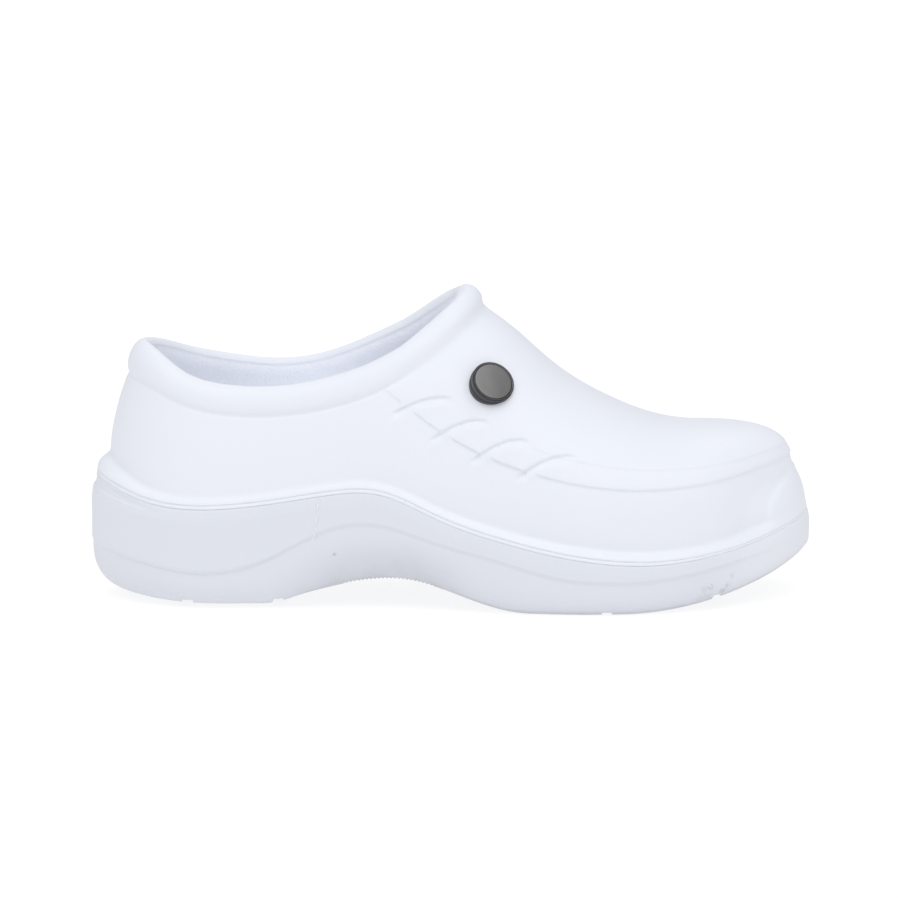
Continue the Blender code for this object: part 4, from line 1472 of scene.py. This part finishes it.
class CLOG_OT_insole(bpy.types.Operator):
    """Adds the insole that lies in the sole's cup"""

    bl_idname = "clog.insole"
    bl_label = "Add Insole"

    def execute(self, context):
        insole = Insole(Sole(context.scene.clog_sizes))
        stretches = ((4, insole.under), (10, insole.side), (10, insole.top))
        skin = Skin(INSOLE_COLUMNS, stretches, weight=even_weight)
        skin.shape(shoe_middle())
        material = insole_foam(context.scene.clog_looks)
        add_piece("insole_pad", skin.finished(), material, "insole", "insole_foam")
        return {"FINISHED"}


class CLOG_OT_badge(bpy.types.Operator):
    """Adds the badge's stepped rim and its bare satin disc"""

    bl_idname = "clog.badge"
    bl_label = "Add Badge"

    def execute(self, context):
        looks = context.scene.clog_looks
        badge = Badge()
        rim = (
            (4, badge.rim_under), (12, badge.rim_wall), (24, badge.rim_top), (3, badge.rim_recess),
            (2, badge.rim_floor),
        )
        face = ((2, badge.face_under), (8, badge.face_side), (10, badge.face_top))
        # Shares of each colour for the painted sheen: slight on the rim, strong on the disc
        dark = badge_plastic("badge_dark", looks.badge_rim, (0.95, 1.1), 0.28, 0.5 * MM, 0.02 * MM)
        satin = badge_plastic("badge_satin", looks.badge_face, (0.6, 1.5), 0.34, 0.35 * MM, 0.03 * MM)
        top = 2

        def line(index, share, points):
            """Painted highlight on the inner edge of the rim."""
            return eased(part(share, LIP_PAINTED_HIGHLIGHT)) * (index == top)

        for name, stretches, marks, material, node, slot in (
            ("badge_rim_ring", rim, {"line": line}, dark, "badge_rim", "badge_dark"),
            ("badge_disc", face, {}, satin, "badge_face", "badge_satin"),
        ):
            skin = Skin(BADGE_COLUMNS, stretches)
            skin.shape(shoe_middle(), marks)
            add_piece(name, skin.finished(), material, node, slot)
        return {"FINISHED"}


class CLOG_OT_stage(bpy.types.Operator):
    """Adds the pale floor, the soft lights and the camera"""

    bl_idname = "clog.stage"
    bl_label = "Add Stage"

    def execute(self, context):
        stage = context.scene.clog_stage
        self.add_floor(stage.floor_glow)
        self.add_sun("left_key", stage.key, -stage.key_turn, stage.key_elevation, stage.spread)
        self.add_sun("right_key", stage.key, stage.key_turn, stage.key_elevation, stage.spread)
        self.add_sun("top_light", stage.top, 0.0, stage.top_elevation, stage.spread)
        self.add_inside(stage.inside)
        self.fill_room(context.scene, stage)
        self.add_camera(context.scene, stage)
        context.scene.view_settings.view_transform = "Standard"
        return {"FINISHED"}

    def add_floor(self, glow):
        mesh = bmesh.new()
        bmesh.ops.create_grid(mesh, x_segments=2, y_segments=2, size=FLOOR_HALF)
        surface = Surface("floor_paper")
        tone = surface.noise(FLOOR_TONE)
        colour = surface.mix(tone, rgba(FLOOR_GREY), rgba(FLOOR_GREY, FLOOR_SHADE))
        surface.shader.inputs["Emission Color"].default_value = (1.0, 1.0, 1.0, 1.0)
        surface.shader.inputs["Emission Strength"].default_value = glow
        paper = surface.finish(colour, FLOOR_ROUGHNESS + FLOOR_GLOSS * tone, tone, FLOOR_BUMP)
        add_object("floor", mesh_data("floor", mesh, paper))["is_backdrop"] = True

    def add_sun(self, name, strength, turn, elevation, spread):
        """Broad soft light, turned from the camera's direction and raised over the horizon."""
        lamp = bpy.data.lights.new(name, "SUN")
        lamp.energy = strength
        lamp.angle = spread
        light = add_object(name, lamp)
        raised = Matrix.Rotation(-elevation, 3, "X") @ LAMP_START
        light.location = Matrix.Rotation(turn, 3, "Z") @ raised
        light.rotation_euler = (-light.location).to_track_quat("-Z", "Y").to_euler()

    def add_inside(self, power):
        """Small soft light in the hollow of the shoe, for the light that thin foam lets through."""
        lamp = bpy.data.lights.new("inside_light", "POINT")
        lamp.energy = power
        lamp.shadow_soft_size = INSIDE_LIGHT_RADIUS
        light = add_object("inside_light", lamp)
        light.location = np.array(INSIDE_LIGHT_PLACE) - shoe_middle()
        light.visible_camera = False

    def fill_room(self, scene, stage):
        scene.world = bpy.data.worlds.new("room")
        scene.world.use_nodes = True
        backdrop = scene.world.node_tree.nodes["Background"]
        backdrop.inputs["Color"].default_value = rgba(stage.room_tint)
        backdrop.inputs["Strength"].default_value = stage.room

    def add_camera(self, scene, stage):
        data = bpy.data.cameras.new("camera")
        length = CAD_BOX[1].x - CAD_BOX[0].x
        data.sensor_width = SENSOR_WIDTH
        data.lens = SENSOR_WIDTH * stage.shoe_share * stage.distance / length
        scene.camera = add_object("camera", data)
        back = Matrix.Rotation(-stage.elevation, 3, "X") @ Vector((0, -1, 0))
        scene.camera.location = Vector((0, 0, stage.aim_height)) + back * stage.distance
        scene.camera.rotation_euler = (-back).to_track_quat("-Z", "Y").to_euler()


class CLOG_PT_panel(bpy.types.Panel):
    """Lists the clog's pieces, sizes and finishes"""

    bl_label = "Moulded Work Clog"
    bl_idname = "CLOG_PT_panel"
    bl_space_type = "VIEW_3D"
    bl_region_type = "UI"
    bl_category = "Clog"

    def draw(self, context):
        for operator in OPERATORS:
            self.layout.operator(operator.bl_idname)
        for group in (context.scene.clog_sizes, context.scene.clog_looks, context.scene.clog_stage):
            box = self.layout.box()
            for name in group.__annotations__:
                box.prop(group, name)


GROUPS = {"clog_sizes": ClogSizes, "clog_looks": ClogLooks, "clog_stage": ClogStage}
OPERATORS = (CLOG_OT_upper, CLOG_OT_sole, CLOG_OT_insole, CLOG_OT_badge, CLOG_OT_stage)


def register():
    for cls in (*GROUPS.values(), *OPERATORS, CLOG_PT_panel):
        bpy.utils.register_class(cls)
    for name, group in GROUPS.items():
        setattr(bpy.types.Scene, name, bpy.props.PointerProperty(type=group))


def unregister():
    for name in GROUPS:
        delattr(bpy.types.Scene, name)
    for cls in reversed((*GROUPS.values(), *OPERATORS, CLOG_PT_panel)):
        bpy.utils.unregister_class(cls)


def write_sizes():
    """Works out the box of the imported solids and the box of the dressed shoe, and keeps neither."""
    boxes = {"cad": CAD_BOX, "visual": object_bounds()}
    {name: [list(corner) for corner in box] for name, box in boxes.items()}


def main():
    register()
    bpy.ops.clog.stage()
    bpy.ops.clog.upper()
    bpy.ops.clog.sole()
    bpy.ops.clog.insole()
    bpy.ops.clog.badge()
    write_sizes()


if __name__ == "__main__":
    main()
